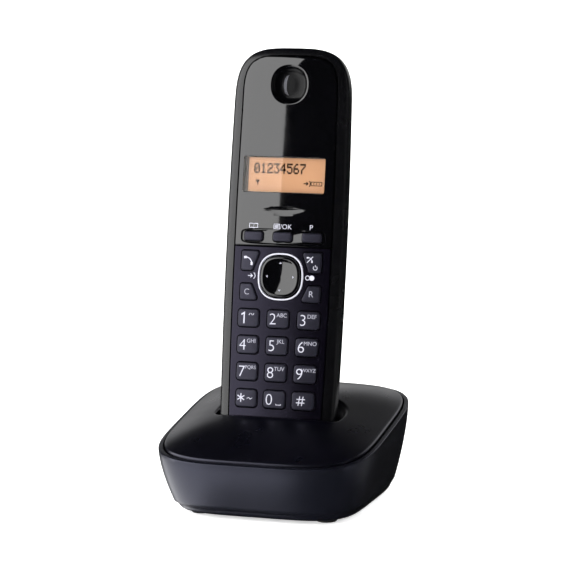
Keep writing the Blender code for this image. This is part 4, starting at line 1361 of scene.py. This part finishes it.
    def print_digit(self, key: Key, label: str, small: str) -> None:
        """Print a number key: the large sign and its small letters.

        Args:
            key: The key.
            label: The key's own name.
            small: Letters beside the sign.
        """
        x, z = key.centre
        top = key.surface(self.shape)
        marks = []
        if label == "1":
            one = [[(-0.9, 1.25), (0.35, 2.05), (0.35, -2.3)]]
            marks.append((*marks_of(self.printer.strokes(one, 0.52)), (x - 2.1, z)))
        elif label == "star":
            spokes = [[(-1.75 * math.cos(a), -1.75 * math.sin(a)), (1.75 * math.cos(a), 1.75 * math.sin(a))]
                      for a in np.radians((90, 30, 150))]
            marks.append((*marks_of(self.printer.strokes(spokes, 0.42)), (x - 2.2, z + 0.1)))
            tail = [[(-1.2, -0.1), (-0.4, 0.3), (0.3, -0.3), (1.1, 0.2)]]
            marks.append((*marks_of(self.printer.strokes(tail, 0.24)), (x + 1.6, z)))
        elif label == "hash":
            bars = [
                [(-0.9, -1.9), (-0.3, 1.9)],
                [(0.5, -1.9), (1.1, 1.9)],
                [(-1.6, 0.7), (1.9, 0.7)],
                [(-1.8, -0.7), (1.7, -0.7)],
            ]
            marks.append((*marks_of(self.printer.strokes(bars, 0.36)), (x - 0.9, z)))
        else:
            marks.append((*self.printer.text(label, 4.6, -0.1), (x - 2.15, z)))
        if label == "0":
            cup = [[(-1.0, 0.35), (-1.0, -0.1), (1.0, -0.1), (1.0, 0.35)]]
            marks.append((*marks_of(self.printer.strokes(cup, 0.26)), (x + 1.9, z - 2.0)))
        if label == "1":
            dots = [[(-1.1, -0.4), (-0.5, 0.4)], [(0.0, 0.4), (0.4, -0.4)], [(1.0, 0.4), (0.8, -0.3)]]
            marks.append((*marks_of(self.printer.strokes(dots, 0.25)), (x + 1.4, z + 1.5)))
        self.printer.lay(f"legend_{key.node}", marks, top, key.node)
        if small:
            word = (*self.printer.text(small, 1.6 if len(small) < 4 else 1.4, 0.0), (x + 1.6, z + 1.6))
            self.printer.lay(f"letters_{key.node}", [word], top, key.node, Palette.INK_SOFT)

    def print_function_keys(self) -> None:
        """Print the talk, off, clear and recall keys."""
        handset = [arc(2.7, 212, 328, 12, (0, 1.9))]
        ends = [arc(2.7, 208, 236, 4, (0, 1.9)), arc(2.7, 304, 332, 4, (0, 1.9))]
        turn = math.radians(-42)
        spin = np.array([[math.cos(turn), math.sin(turn)], [-math.sin(turn), math.cos(turn)]])

        def turned(lines: Sequence) -> list[Points]:
            """The strokes turned as the sign stands on the key."""
            return [-(np.array(line) @ spin) for line in lines]

        def phone(scale: float) -> list[tuple[Points, list]]:
            """A handset sign: a thin back with two thick ends."""
            thin = marks_of(self.printer.strokes([line * scale for line in turned(handset)], 0.42 * scale))
            thick = marks_of(self.printer.strokes([line * scale for line in turned(ends)], 0.95 * scale))
            return [thin, thick]

        talk, off = self.keys["talk_key"], self.keys["off_key"]
        clear, recall = self.keys["clear_key"], self.keys["recall_key"]
        x, z = talk.centre
        marks = [(*mark, (x - 0.7, z + 0.1)) for mark in phone(0.95)]
        self.printer.lay("legend_talk", marks, talk.surface(self.shape), "talk_key")
        x, z = off.centre
        marks = [(*mark, (x - 0.6, z + 1.3)) for mark in phone(0.62)]
        cross = self.printer.strokes([[(-1.2, -1.3), (1.2, 1.2)]], 0.3)
        marks.append((*marks_of(cross), (x - 0.6, z + 1.3)))
        power = self.printer.strokes([arc(0.8, 130, 410, 18), [(0, 0.35), (0, 1.15)]], 0.24)
        marks.append((*marks_of(power), (x + 1.7, z - 2.0)))
        self.printer.lay("legend_off", marks, off.surface(self.shape), "off_key")
        x, z = clear.centre
        mark = (*self.printer.text("C", 2.4, -0.03), (x - 0.9, z))
        self.printer.lay("legend_clear", [mark], clear.surface(self.shape), "clear_key", Palette.INK_SOFT)
        x, z = recall.centre
        mark = (*self.printer.text("R", 2.5, -0.03), (x + 0.5, z))
        self.printer.lay("legend_recall", [mark], recall.surface(self.shape), "recall_key", Palette.INK_SOFT)

    def print_panels(self) -> None:
        """Print the marks on the two face panels."""
        keys = self.keys
        nav_x, nav_z = self.centre_of("nav_ring")
        half = self.half_of("nav_ring")[0]
        arrow = [[(-1.6, 0), (0.3, 0)], [(-0.5, 0.75), (0.35, 0), (-0.5, -0.75)], arc(1.5, -55, 55, 8)]
        redial = marks_of(self.printer.strokes(arrow, 0.28))
        circles = marks_of(self.printer.strokes([arc(0.85, 0, 360, 25, (-1.0, 0))], 0.28))
        disc = MeshData().loft(
            [
                np.column_stack([superellipse(1.05, 1.05, 2.0, 24) + (0.75, 0), np.full(24, depth)])
                for depth in (-0.02, 0.02)
            ]
        )
        marks = [
            (*redial, (nav_x - half - 2.7, nav_z)),
            (*circles, (nav_x + half + 2.9, nav_z)),
            (*marks_of(disc), (nav_x + half + 2.9, nav_z)),
        ]
        self.printer.lay("plate_marks", marks, self.shape.face, "handset")
        left, middle, right = (keys[f"soft_key_{side}"].centre for side in ("left", "middle", "right"))
        rise = 4.15
        book = [
            [(0, -0.9), (0, 0.7), (-0.4, 0.95), (-1.8, 0.95), (-1.8, -0.7), (-0.4, -0.7), (0, -0.95)],
            [(0, -0.9), (0, 0.7), (0.4, 0.95), (1.8, 0.95), (1.8, -0.7), (0.4, -0.7), (0, -0.95)],
        ]
        menu = [[(-1.2, 0.95), (1.2, 0.95), (1.2, -0.95), (-1.2, -0.95), (-1.2, 0.95)]]
        menu += [[(-0.8, y), (0.8, y)] for y in (0.42, 0.0, -0.42)]
        marks = [
            (*marks_of(self.printer.strokes(book, 0.22)), (left[0] - 0.1, left[1] + rise)),
            (*marks_of(self.printer.strokes(menu, 0.22)), (middle[0] - 2.5, middle[1] + rise)),
            (*self.printer.text("/OK", 2.0, -0.03), (middle[0] + 1.4, middle[1] + rise)),
            (*self.printer.text("P", 2.1, -0.03), (right[0] - 0.3, right[1] + rise)),
        ]
        self.printer.lay("panel_marks", marks, self.shape.face, "handset")

    def build_navigator(self) -> None:
        """The white ring and the dished glossy pad with its four raised ticks."""
        centre = self.centre_of("nav_ring")
        half = self.half_of("nav_ring")[0]
        outer = superellipse(half, half, self.ring_power, 128)
        width = self.ring_width
        profile = (
            (0.0, 1.9), (0.0, 0.2), (-0.08, -0.02), (-0.25, -0.14), (-width + 0.25, -0.14),
            (-width + 0.08, -0.02), (-width, 0.2), (-width, 1.9), (0.0, 1.9),
        )
        rings = [flat_ring(offset(outer, grow), depth, centre) for grow, depth in profile]
        data = MeshData().loft(rings, False, False)
        self.shop.piece("nav_white_ring", data, Palette.RING_ABS, "handset", ["nav_ring"])
        cap = superellipse(self.half_of("nav_cap")[0], self.half_of("nav_cap")[1], self.ring_power, 128)
        profile = (
            (0.0, 1.7), (0.0, -0.1), (-0.1, -0.42), (-0.35, -0.66),
            (-0.8, -0.78), (-1.25, -0.76), (-1.6, -0.62),
        )
        rings = [flat_ring(offset(cap, grow), depth, centre) for grow, depth in profile]
        inner = offset(cap, -1.6)
        for share in (0.88, 0.74, 0.58, 0.42, 0.25, 0.08):
            rings.append(flat_ring(inner * share, -0.62 + 0.62 * (1 - share**2), centre))
        pad = MeshData().loft(rings)
        self.shop.piece("nav_pad", pad, Palette.PIANO_ABS, "nav_pad", ["nav_cap"], sharp_deg=50.0)
        reach = 5.3
        ticks = MeshData()
        for k in range(4):
            turn = math.pi / 2 * k
            spin = np.array([[math.cos(turn), math.sin(turn)], [-math.sin(turn), math.cos(turn)]])
            triangle = np.array([(reach + 0.85, 0.0), (reach - 0.1, 0.7), (reach - 0.1, -0.7)]) @ spin
            base = -0.62 + 0.62 * (1 - (reach / (self.half_of("nav_cap")[0] - 1.6)) ** 2)
            tip = triangle.mean(0) + (triangle - triangle.mean(0)) * 0.75
            ticks.loft([flat_ring(triangle, base + 0.3, centre), flat_ring(tip, base - 0.1, centre)])
        self.shop.piece("nav_ticks", ticks, Palette.INK_SOFT, "nav_pad")

    def build_display(self) -> None:
        """The clear window, the lit film behind it and what it shows."""
        half_x, half_z = self.half_of("display_window")
        centre = self.centre_of("display_window")
        share = np.linspace(-1, 1, 57)
        data = MeshData()
        rows: list[list[Points]] = [[], []]
        for layer, depth in enumerate((0.04, 1.1)):
            for z in np.linspace(-half_z, half_z, 15):
                x = half_x * share - self.window_reveal * (1 - share) / 2
                y = self.shape.face(x, np.full_like(x, centre[1])) + depth
                rows[layer].append(np.stack([x, y, np.full_like(x, centre[1] + z)], axis=1))
        front, back = data.grid(rows[0]), data.grid(rows[1], flip=True)
        for a, b in ((front[0], back[0]), (front[-1], back[-1])):
            data.faces += [(a[k], a[k + 1], b[k + 1], b[k]) for k in range(len(a) - 1)]
        for k in (0, -1):
            a, b = [row[k] for row in front], [row[k] for row in back]
            data.faces += [(a[i], a[i + 1], b[i + 1], b[i]) for i in range(len(a) - 1)]
        self.shop.piece("clear_window", data, Palette.ACRYLIC, "handset", ["display_window"])
        low, high = self.lean.local_box("lcd_module")
        y = float(low[1])
        frame_outline = rounded_rectangle(half_x + 3.4, half_z + 1.6, 0.8)
        surround = face_prism(frame_outline, y + 0.2, float(high[1]), centre)
        self.shop.piece("display_surround", surround, Palette.NYLON, "handset", ["lcd_module"])
        film = rounded_rectangle(half_x + 0.1, half_z - 0.3, 0.4)
        self.shop.piece("display_film", face_prism(film, y, y + 0.15, centre), Palette.AMBER, "handset")
        self.draw_display(centre, y - 0.05)

    def draw_display(self, centre: tuple[float, float], depth: float) -> None:
        """Draw dot-matrix digits and small status signs on the film.

        Args:
            centre: The window's middle.
            depth: The film's depth.
        """
        dots = {
            "0": "01110 10001 10011 10101 11001 10001 01110",
            "1": "00100 01100 00100 00100 00100 00100 01110",
            "2": "01110 10001 00001 00110 01000 10000 11111",
            "3": "11111 00010 00100 00010 00001 10001 01110",
            "4": "00010 00110 01010 10010 11111 00010 00010",
            "5": "11111 10000 11110 00001 00001 10001 01110",
            "6": "00110 01000 10000 11110 10001 10001 01110",
            "7": "11111 00001 00010 00100 01000 01000 01000",
        }
        pitch, size = 0.46, 0.6
        data = MeshData()
        left, top = centre[0] - 14.0, centre[1] + 4.4
        for place, sign in enumerate("01234567"):
            for row, bits in enumerate(dots.get(sign, "").split()):
                for column, bit in enumerate(bits):
                    if bit == "1":
                        x, z = left + place * 2.78 + column * pitch, top - row * pitch * 1.28
                        cell = rounded_rectangle(size / 2, size * 0.62, 0.08)
                        data.loft([flat_ring(cell, d, (x, z)) for d in (depth, depth - 0.04)])
        low = centre[1] - 3.2
        antenna = [
            [(-0.9, 0.9), (0.9, 0.9)],
            [(-0.8, 0.8), (0, -0.1)],
            [(0.8, 0.8), (0, -0.1)],
            [(0, 0.7), (0, -1.1)],
        ]
        arrow = [
            [(-1.6, 0), (0.2, 0)],
            [(-0.5, 0.6), (0.25, 0), (-0.5, -0.6)],
            arc(1.5, -50, 50, 8, (-0.2, 0)),
        ]
        battery = [[(-2.2, 0.75), (2.1, 0.75), (2.1, -0.75), (-2.2, -0.75), (-2.5, 0.0), (-2.2, 0.75)]]
        battery += [[(x, 0.4), (x, -0.4)] for x in (-1.25, -0.1, 1.05)]
        for lines, width, x in ((antenna, 0.4, -12.6), (arrow, 0.4, 8.6), (battery, 0.3, 12.6)):
            points, faces = marks_of(self.printer.strokes(lines, width))
            across, up = points[:, 0] + centre[0] + x, points[:, 1] + low
            first = data.add(np.column_stack([across, depth - 0.02 - points[:, 2], up]))
            data.faces += [tuple(first + i for i in face) for face in faces]
        self.shop.piece("display_signs", data, Palette.SEGMENT, "handset")


# ------------------------------------------------------------------ base
@dataclass
class Base:
    """The charging base: tub, domed cover with its well, and the finder button."""

    shop: Workshop
    lean: LeaningFrame
    shape: HandsetShape
    half_x: float
    half_y: float
    floor: float
    rim_slope: float = 0.168
    rim_height: float = 32.7
    top_power: float = 4.2
    foot_power: float = 4.6
    draft: float = 7.0
    foot_shift: float = 1.0
    bottom_round: float = 3.2
    wall: float = 1.8
    hill: float = 9.2
    hill_power: float = 2.4
    cover_gap: float = 0.4
    cover_thick: float = 2.0
    well_gap: float = 1.3
    well_flare: float = 3.0
    well_depth: float = 14.0
    lip: float = 0.9
    count: int = 240

    @classmethod
    def from_cad(cls, shop: Workshop, lean: LeaningFrame, shape: HandsetShape) -> Base:
        """Take the overall sizes from the CAD nodes.

        Args:
            shop: The workshop that makes the pieces.
            lean: The handset's frame.
            shape: The handset's outer form.

        Returns:
            The base.
        """
        low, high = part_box("base_housing")
        return cls(shop, lean, shape, high.x / MM - 0.01, high.y / MM - 0.01, low.z / MM)

    def build(self) -> None:
        """Build the base's visible pieces."""
        self.build_tub()
        self.build_cover()
        self.build_button()

    def rim_at(self, y: np.ndarray) -> np.ndarray:
        """Height of the rim plane."""
        return self.rim_height + self.rim_slope * y

    def ring(self, share: float, inset: float = 0.0) -> Points:
        """A ring of the wall: 0 is the underside's edge and 1 the rim.

        Args:
            share: Height as a share of the wall.
            inset: How far inward from the outside.

        Returns:
            The 3-D points.
        """
        lean = self.draft * (1 - share) ** 1.5
        shift = self.foot_shift * (1 - share)
        power = self.foot_power + (self.top_power - self.foot_power) * share
        outline = superellipse(self.half_x - lean - inset, self.half_y - lean - inset, power, self.count)
        y = outline[:, 1] + shift
        z = self.floor + share * (self.rim_at(y) - self.floor)
        return np.column_stack([outline[:, 0], y, z])

    def build_tub(self) -> None:
        """The tub: rounded foot, drafted wall, rolled rim and open rear sockets."""
        rings = []
        for angle in np.linspace(0, math.pi / 2, 7)[:-1]:
            ring = self.ring(0.0, self.bottom_round * (1 - math.sin(angle)))
            ring[:, 2] += self.bottom_round * (1 - math.cos(angle))
            rings.append(ring)
        lift = self.bottom_round / (self.rim_height - self.floor) * 1.4
        rings += [self.ring(share) for share in np.linspace(lift, 0.985, 16)]
        for angle in np.linspace(0.15, 1.0, 5) * math.pi / 2:
            ring = self.ring(1.0, 0.45 * (1 - math.cos(angle)))
            ring[:, 2] -= 0.45 * (1 - math.sin(angle))
            rings.append(ring)
        rings += [self.ring(1.0, self.wall - 0.2)]
        inner = self.ring(0.985, self.wall)
        rings.append(inner)
        rings += [self.ring(share, self.wall) for share in np.linspace(0.9, lift, 7)]
        last = self.ring(lift, self.wall + 1.0)
        last[:, 2] = self.floor + self.wall
        rings.append(last)
        cuts = []
        for node, margin in (("line_jack", -1.0), ("power_jack", -1.0)):
            low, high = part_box(node)
            centre = ((low.x + high.x) / 2 / MM, (low.z + high.z) / 2 / MM)
            half = ((high.x - low.x) / 2 / MM + margin, (high.z - low.z) / 2 / MM + margin)
            if node == "line_jack":
                outline = rounded_rectangle(*half, 0.8)
            else:
                outline = superellipse(half[0], half[0], 2.0, 48)
            cuts.append(face_prism(outline, high.y / MM - 0.5, self.half_y + 5, centre))
        for side in ("left", "right"):
            low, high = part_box(f"base_screw_{side}")
            x, y = (low.x + high.x) / 2 / MM, (low.y + high.y) / 2 / MM
            circle = superellipse(3.0, 3.0, 2.0, 40) + (x, y)
            cuts.append(MeshData().loft([np.column_stack([circle, np.full(40, z)]) for z in (-1.0, 4.8)]))
        tub = MeshData().loft(rings)
        self.shop.piece("base_tub", tub, Palette.TUB_ABS, "base", ["base_housing"], cuts, leaning=False)

    def cover_at(self, x: np.ndarray, y: np.ndarray) -> np.ndarray:
        """Height of the cover's outer surface.

        Args:
            x: Places across, in millimetres.
            y: Places from front to back, in millimetres.

        Returns:
            The heights.
        """
        radius = (np.abs(x / self.half_x) ** self.top_power + np.abs(y / self.half_y) ** self.top_power) ** (
            1 / self.top_power
        )
        return self.rim_at(y) + self.hill * (1 - np.clip(radius, 0, 1) ** self.hill_power)

    def well_levels(self) -> None:
        """Work out the well's wall as rings from its floor to well above the cover."""
        heights = [-0.8, 5.5, self.well_depth * 1.05, self.well_depth * 1.4, self.well_depth * 2.4]
        grow = [self.well_gap, self.well_gap, self.well_gap, self.well_gap * 1.6, self.well_gap * 2]
        side = [0.0, 0.0, self.well_flare * 0.5, self.well_flare * 1.3, self.well_flare * 2.2]
        middle = self.shape.thick / 2
        self.levels = np.linspace(heights[0], heights[-1], 90)
        rings = []
        for z in self.levels:
            outline = self.shape.section(max(float(z), 0.0), float(np.interp(z, heights, grow)), self.count)
            swell = np.clip(1 - ((outline[:, 1] - middle) / middle) ** 2, 0, None)
            reach = float(np.interp(z, heights, side)) * swell / self.shape.half_width
            local = np.column_stack([outline[:, 0] * (1 + reach), outline[:, 1], np.full(self.count, z)])
            rings.append(self.lean.world(local) / MM)
        self.well_rings = np.stack(rings)

    def well_at(self, z: np.ndarray) -> Points:
        """The well's wall at one height for each point round it.

        Args:
            z: A height for each point round the well.

        Returns:
            The 3-D points.
        """
        place = (z - self.levels[0]) / (self.levels[1] - self.levels[0])
        place = np.clip(place, 0, len(self.levels) - 1.001)
        base = place.astype(int)
        part = (place - base)[:, None]
        around = np.arange(self.count)
        return self.well_rings[base, around] * (1 - part) + self.well_rings[base + 1, around] * part

    def mouth_heights(self) -> np.ndarray:
        """The heights at which the well's wall meets the cover.

        Returns:
            A height for each point round the well.
        """
        low, high = np.full(self.count, 2.0), np.full(self.count, float(self.levels[-1]))
        for _ in range(26):
            middle = (low + high) / 2
            points = self.well_at(middle)
            above = points[:, 2] > self.cover_at(points[:, 0], points[:, 1])
            high, low = np.where(above, middle, high), np.where(above, low, middle)
        return low

    def facing(self, outline: Points, inner: Points) -> Points:
        """The points of an outline that lie straight out from those of an inner ring.

        Args:
            outline: The outline to take points from.
            inner: The ring that they face.

        Returns:
            One point for each of the inner ring's.
        """
        centre = inner.mean(0)
        turn = np.unwrap(np.arctan2(inner[:, 1] - centre[1], inner[:, 0] - centre[0]))
        around = np.unwrap(np.arctan2(outline[:, 1] - centre[1], outline[:, 0] - centre[0]))
        around = np.concatenate([around - 2 * math.pi, around, around + 2 * math.pi])
        tiled = np.vstack([outline, outline, outline])
        return np.stack([np.interp(turn, around, tiled[:, k]) for k in (0, 1)], axis=1)

    def draped(self, outline: Points, drop: float = 0.0) -> Points:
        """An outline laid on the cover's surface, or a distance under it."""
        return np.column_stack([outline, self.cover_at(outline[:, 0], outline[:, 1]) - drop])

    def build_cover(self) -> None:
        """The cover in one closed sweep: skirt, rolled edge, dome, rolled lip, well wall and underside."""
        self.well_levels()
        mouth_z = self.mouth_heights()
        mouth = self.well_at(mouth_z)
        inset = self.wall + self.cover_gap
        rim = superellipse(self.half_x - inset, self.half_y - inset, self.top_power, 2400)
        edge = self.facing(rim, mouth[:, :2])
        skirt_z = self.rim_at(edge[:, 1]) - 4.0
        rings = [np.column_stack([offset(edge, -0.7), skirt_z])]
        for angle in np.linspace(0, 1, 5) * math.pi / 2:
            rings.append(self.draped(offset(edge, -0.6 * (1 - math.cos(angle))), 0.6 * (1 - math.sin(angle))))
        inner, lip = offset(edge, -0.6), offset(mouth[:, :2], self.lip)
        rings += [self.draped(inner * (1 - share) + lip * share) for share in np.linspace(0, 1, 46)[1:]]
        start, end = rings[-1], self.well_at(mouth_z - self.lip)
        for t in np.linspace(0, 1, 7)[1:]:
            rings.append((1 - t) ** 2 * start + 2 * t * (1 - t) * mouth + t * t * end)
        floor_z = np.full(self.count, -0.8)
        wall_z = [(mouth_z - self.lip) * (1 - share) + floor_z * share for share in np.linspace(0, 1, 14)]
        rings += [self.well_at(z) for z in wall_z[1:]]
        for z in reversed(wall_z[3:]):
            ring = self.well_at(z)
            rings.append(np.column_stack([offset(ring[:, :2], self.wall), ring[:, 2]]))
        under_edge, under_mouth = offset(edge, -self.cover_thick - 0.6), offset(mouth[:, :2], self.wall + 1.0)
        for share in np.linspace(0, 1, 12):
            rings.append(self.draped(under_mouth * (1 - share) + under_edge * share, self.cover_thick))
        rings.append(np.column_stack([offset(edge, -self.cover_thick - 0.7), skirt_z]))
        low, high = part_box("page_button")
        centre = ((low.x + high.x) / 2 / MM, (low.y + high.y) / 2 / MM)
        half_x, half_y = (high.x - low.x) / 2 / MM, (high.y - low.y) / 2 / MM
        hole = superellipse(half_x + 0.3, half_y + 0.3, 3.0, 64) + centre
        cut = MeshData().loft([np.column_stack([hole, np.full(64, z)]) for z in (24.0, 60.0)])
        data = MeshData().loft(rings + rings[:1], False, False)
        self.shop.piece(
            "base_top", data, Palette.COVER_ABS, "base", ["base_cover"], [cut], leaning=False, sharp_deg=50.0
        )
        self.build_well_floor()

    def build_well_floor(self) -> None:
        """The floor of the well, with a slot for each charging spring."""
        outline = self.shape.section(0.0, self.well_gap + self.wall - 0.2, 160)
        data = MeshData().loft([np.column_stack([outline, np.full(160, z)]) for z in (-2.6, -0.85)])
        cuts = []
        for side in ("left", "right"):
            low, high = self.lean.local_box(f"base_contact_{side}")
            half_x, half_y = float(high[0] - low[0]) / 2, float(high[1] - low[1]) / 2
            slot = rounded_rectangle(half_x + 0.6, half_y + 1.0, 0.6)
            slot = slot + ((low[0] + high[0]) / 2, (low[1] + high[1]) / 2)
            levels = [np.column_stack([slot, np.full(len(slot), z)]) for z in (-5.0, 2.0)]
            cuts.append(MeshData().loft(levels))
        self.shop.piece("well_floor", data, Palette.SATIN_ABS, "base", cuts=cuts)

    def build_button(self) -> None:
        """The handset-finder button: a small pillowed cap."""
        low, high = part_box("page_button")
        centre = np.array([(low.x + high.x) / 2 / MM, (low.y + high.y) / 2 / MM])
        outline = superellipse((high.x - low.x) / 2 / MM, (high.y - low.y) / 2 / MM, 3.0, 72)
        rings = []
        for inset, rise in ((0.0, -6.0), (0.0, 0.0), (0.1, 0.2), (0.35, 0.38), (0.8, 0.46)):
            rings.append(self.draped(offset(outline, -inset) + centre, -rise))
        for share in (0.7, 0.4, 0.12):
            rings.append(self.draped(offset(outline, -0.8) * share + centre, -0.46 + 0.12 * (1 - share)))
        cap = MeshData().loft(rings)
        self.shop.piece("finder_button", cap, Palette.KEY_ABS, "page_button", ["page_button"], leaning=False)


# ------------------------------------------------------------------ pieces taken over from the CAD
@dataclass(frozen=True)
class Carried:
    """CAD pieces whose shape is already right, each with the finish of the real one."""

    finishes: tuple[tuple[Palette, tuple[str, ...]], ...] = (
        (Palette.BOARD, ("base_circuit_board", "handset_circuit_board")),
        (Palette.NICKEL, ("rf_shield", "base_contact_left", "base_contact_right", "base_screw_left",
                          "base_screw_right", "battery_bridge_contact", "battery_contact_positive",
                          "battery_contact_negative", "handset_contact_left", "handset_contact_right",
                          "handset_screw_left", "handset_screw_right")),
        (Palette.NYLON, ("page_switch", "line_jack", "power_jack", "battery_tray", "earpiece_receiver",
                         "ringer_speaker", "microphone", "nav_stem")),
        (Palette.RUBBER, ("foot_front_left", "foot_front_right", "foot_back_left", "foot_back_right")),
        # The keymat's near-black is painted shade for the gaps round the keys.
        (Palette.SILICONE_PAINTED_SHADE, ("rubber_keypad",)),
        (Palette.WRAP, ("battery_cell_left", "battery_cell_right")),
    )

    def dress(self) -> None:
        """Give each carried-over piece its material."""
        for finish, nodes in self.finishes:
            for node in nodes:
                obj = frame["nodes"][node]
                obj.data.materials.clear()
                obj.data.materials.append(finish.value.build())
                LOG.info("%s: %s", node, finish.value.name)


# ------------------------------------------------------------------ studio
@dataclass(frozen=True)
class Softbox:
    """A rectangular light placed round the object by azimuth and elevation, facing its middle."""

    name: str
    azimuth: float
    elevation: float
    distance: float
    width: float
    height: float
    radiance: float
    upright: bool = True

    def build(self, target: Vector) -> None:
        """Make the light; its radiance is what a mirror would show of it.

        Args:
            target: The place it faces.
        """
        light = bpy.data.lights.new(self.name, "AREA")
        light.shape = "RECTANGLE"
        light.size, light.size_y = self.width, self.height
        light.energy = self.radiance * math.pi * self.width * self.height
        obj = bpy.data.objects.new(self.name, light)
        bpy.context.scene.collection.objects.link(obj)
        a, e = math.radians(self.azimuth), math.radians(self.elevation)
        back = Vector((math.sin(a) * math.cos(e), -math.cos(a) * math.cos(e), math.sin(e)))
        obj.location = target + back * self.distance
        facing = Vector((-back.x, -back.y, 0.0)) if self.upright else -back
        obj.rotation_euler = facing.to_track_quat("-Z", "Y").to_euler()
        obj.visible_camera = False


@dataclass(frozen=True)
class Studio:
    """Floor, sweep, lights and camera."""

    lens: float = 162.96
    sensor: float = 36.0
    azimuth: float = 17.946
    elevation: float = 8.441
    roll: float = -0.112
    place: tuple[float, float, float] = (0.320245, -0.98906, 0.244045)
    floor_colour: str = "#f2f2f2"
    floor_glow: float = 0.5
    air_glow: float = 0.012
    sweep_flat: float = 1500.0
    sweep_bend: float = 500.0
    sweep_height: float = 2600.0

    def build(self) -> None:
        """Set up the whole studio."""
        self.build_sweep()
        self.build_lights()
        self.build_camera()
        scene = bpy.context.scene
        scene.view_settings.view_transform = "Standard"
        world = bpy.data.worlds.new("studio_air")
        world.use_nodes = True
        world.node_tree.nodes["Background"].inputs["Color"].default_value = (1, 1, 1, 1)
        world.node_tree.nodes["Background"].inputs["Strength"].default_value = self.air_glow
        scene.world = world

    def build_sweep(self) -> None:
        """A pale round floor whose rim curves up into the backdrop."""
        data = MeshData()
        flat, bend = self.sweep_flat, self.sweep_bend
        profile = [(0.0, 0.0), (900.0, 0.0), (flat, 0.0)]
        for angle in np.linspace(0.1, math.pi / 2, 12):
            profile.append((flat + bend * math.sin(angle), bend * (1 - math.cos(angle))))
        profile.append((flat + bend, self.sweep_height))
        angle = np.linspace(0, 2 * math.pi, 96, endpoint=False)
        rings = [
            np.stack([max(r, 0.5) * np.cos(angle), max(r, 0.5) * np.sin(angle), np.full(96, z)], axis=1)
            for r, z in profile
        ]
        data.loft(rings, True, False)
        mesh = bpy.data.meshes.new("studio_sweep")
        mesh.from_pydata((np.vstack(data.vertices) * MM).tolist(), [], data.faces)
        mesh.shade_smooth()
        sweep = bpy.data.objects.new("studio_sweep", mesh)
        bpy.context.scene.collection.objects.link(sweep)
        material = bpy.data.materials.new("matt_white_paper")
        material.use_nodes = True
        shader = material.node_tree.nodes["Principled BSDF"]
        shader.inputs["Base Color"].default_value = linear(self.floor_colour)
        shader.inputs["Roughness"].default_value = 1.0
        shader.inputs["Specular IOR Level"].default_value = 0.0
        shader.inputs["Emission Color"].default_value = (1, 1, 1, 1)
        shader.inputs["Emission Strength"].default_value = self.floor_glow
        mesh.materials.append(material)
        # The paper lights the object but isn't mirrored in its polished faces: the lights alone draw them.
        sweep.visible_glossy = False
        sweep.visible_shadow = False

    def build_lights(self) -> None:
        """A tall softbox from the left, its image in the table, a wide back wall and dim right-hand fills."""
        lights = (
            Softbox("left_softbox", azimuth=-56.3, elevation=22.0, distance=1.4, width=2.0, height=1.6,
                    radiance=4.7),
            Softbox("table_glow", azimuth=-75.0, elevation=-40.0, distance=1.35, width=2.7, height=0.9,
                    radiance=3.0, upright=False),
            Softbox("right_fill", azimuth=80.0, elevation=5.0, distance=1.3, width=0.2, height=1.4,
                    radiance=0.9),
            Softbox("back_wall", azimuth=185.0, elevation=15.0, distance=1.9, width=3.6, height=0.85,
                    radiance=0.75),
            Softbox("right_table_glow", azimuth=112.0, elevation=-20.0, distance=1.5, width=2.0, height=0.6,
                    radiance=0.3, upright=False),
            Softbox("back_right", azimuth=146.0, elevation=26.0, distance=1.9, width=1.4, height=1.0,
                    radiance=0.75),
        )
        target = Vector((0, -0.01, 0.1))
        for light in lights:
            light.build(target)

    def build_camera(self) -> None:
        """A long lens a metre away, a little to the right and above."""
        data = bpy.data.cameras.new("camera")
        data.lens, data.sensor_width = self.lens, self.sensor
        data.clip_start, data.clip_end = 0.05, 20.0
        camera = bpy.data.objects.new("camera", data)
        bpy.context.scene.collection.objects.link(camera)
        a, e, r = (math.radians(value) for value in (self.azimuth, self.elevation, self.roll))
        back = Vector((math.sin(a) * math.cos(e), -math.cos(a) * math.cos(e), math.sin(e)))
        right = Vector((math.cos(a), math.sin(a), 0))
        up = back.cross(right)
        turned_right = math.cos(r) * right + math.sin(r) * up
        turned_up = math.cos(r) * up - math.sin(r) * right
        matrix = Matrix((turned_right, turned_up, back)).transposed().to_4x4()
        matrix.translation = Vector(self.place)
        camera.matrix_world = matrix
        bpy.context.scene.camera = camera


def main() -> None:
    """Build the telephone and its studio, and log the handset's shape."""
    logging.basicConfig(level=logging.INFO, format="%(message)s")
    lean = LeaningFrame.from_cad()
    shape = HandsetShape.from_cad(lean)
    LOG.info("handset: %s", shape)
    shop = Workshop(lean)
    Handset(shop, lean, shape).build()
    Base.from_cad(shop, lean, shape).build()
    Carried().dress()
    Studio().build()
    bpy.context.view_layer.update()


if __name__ == "__main__":
    main()
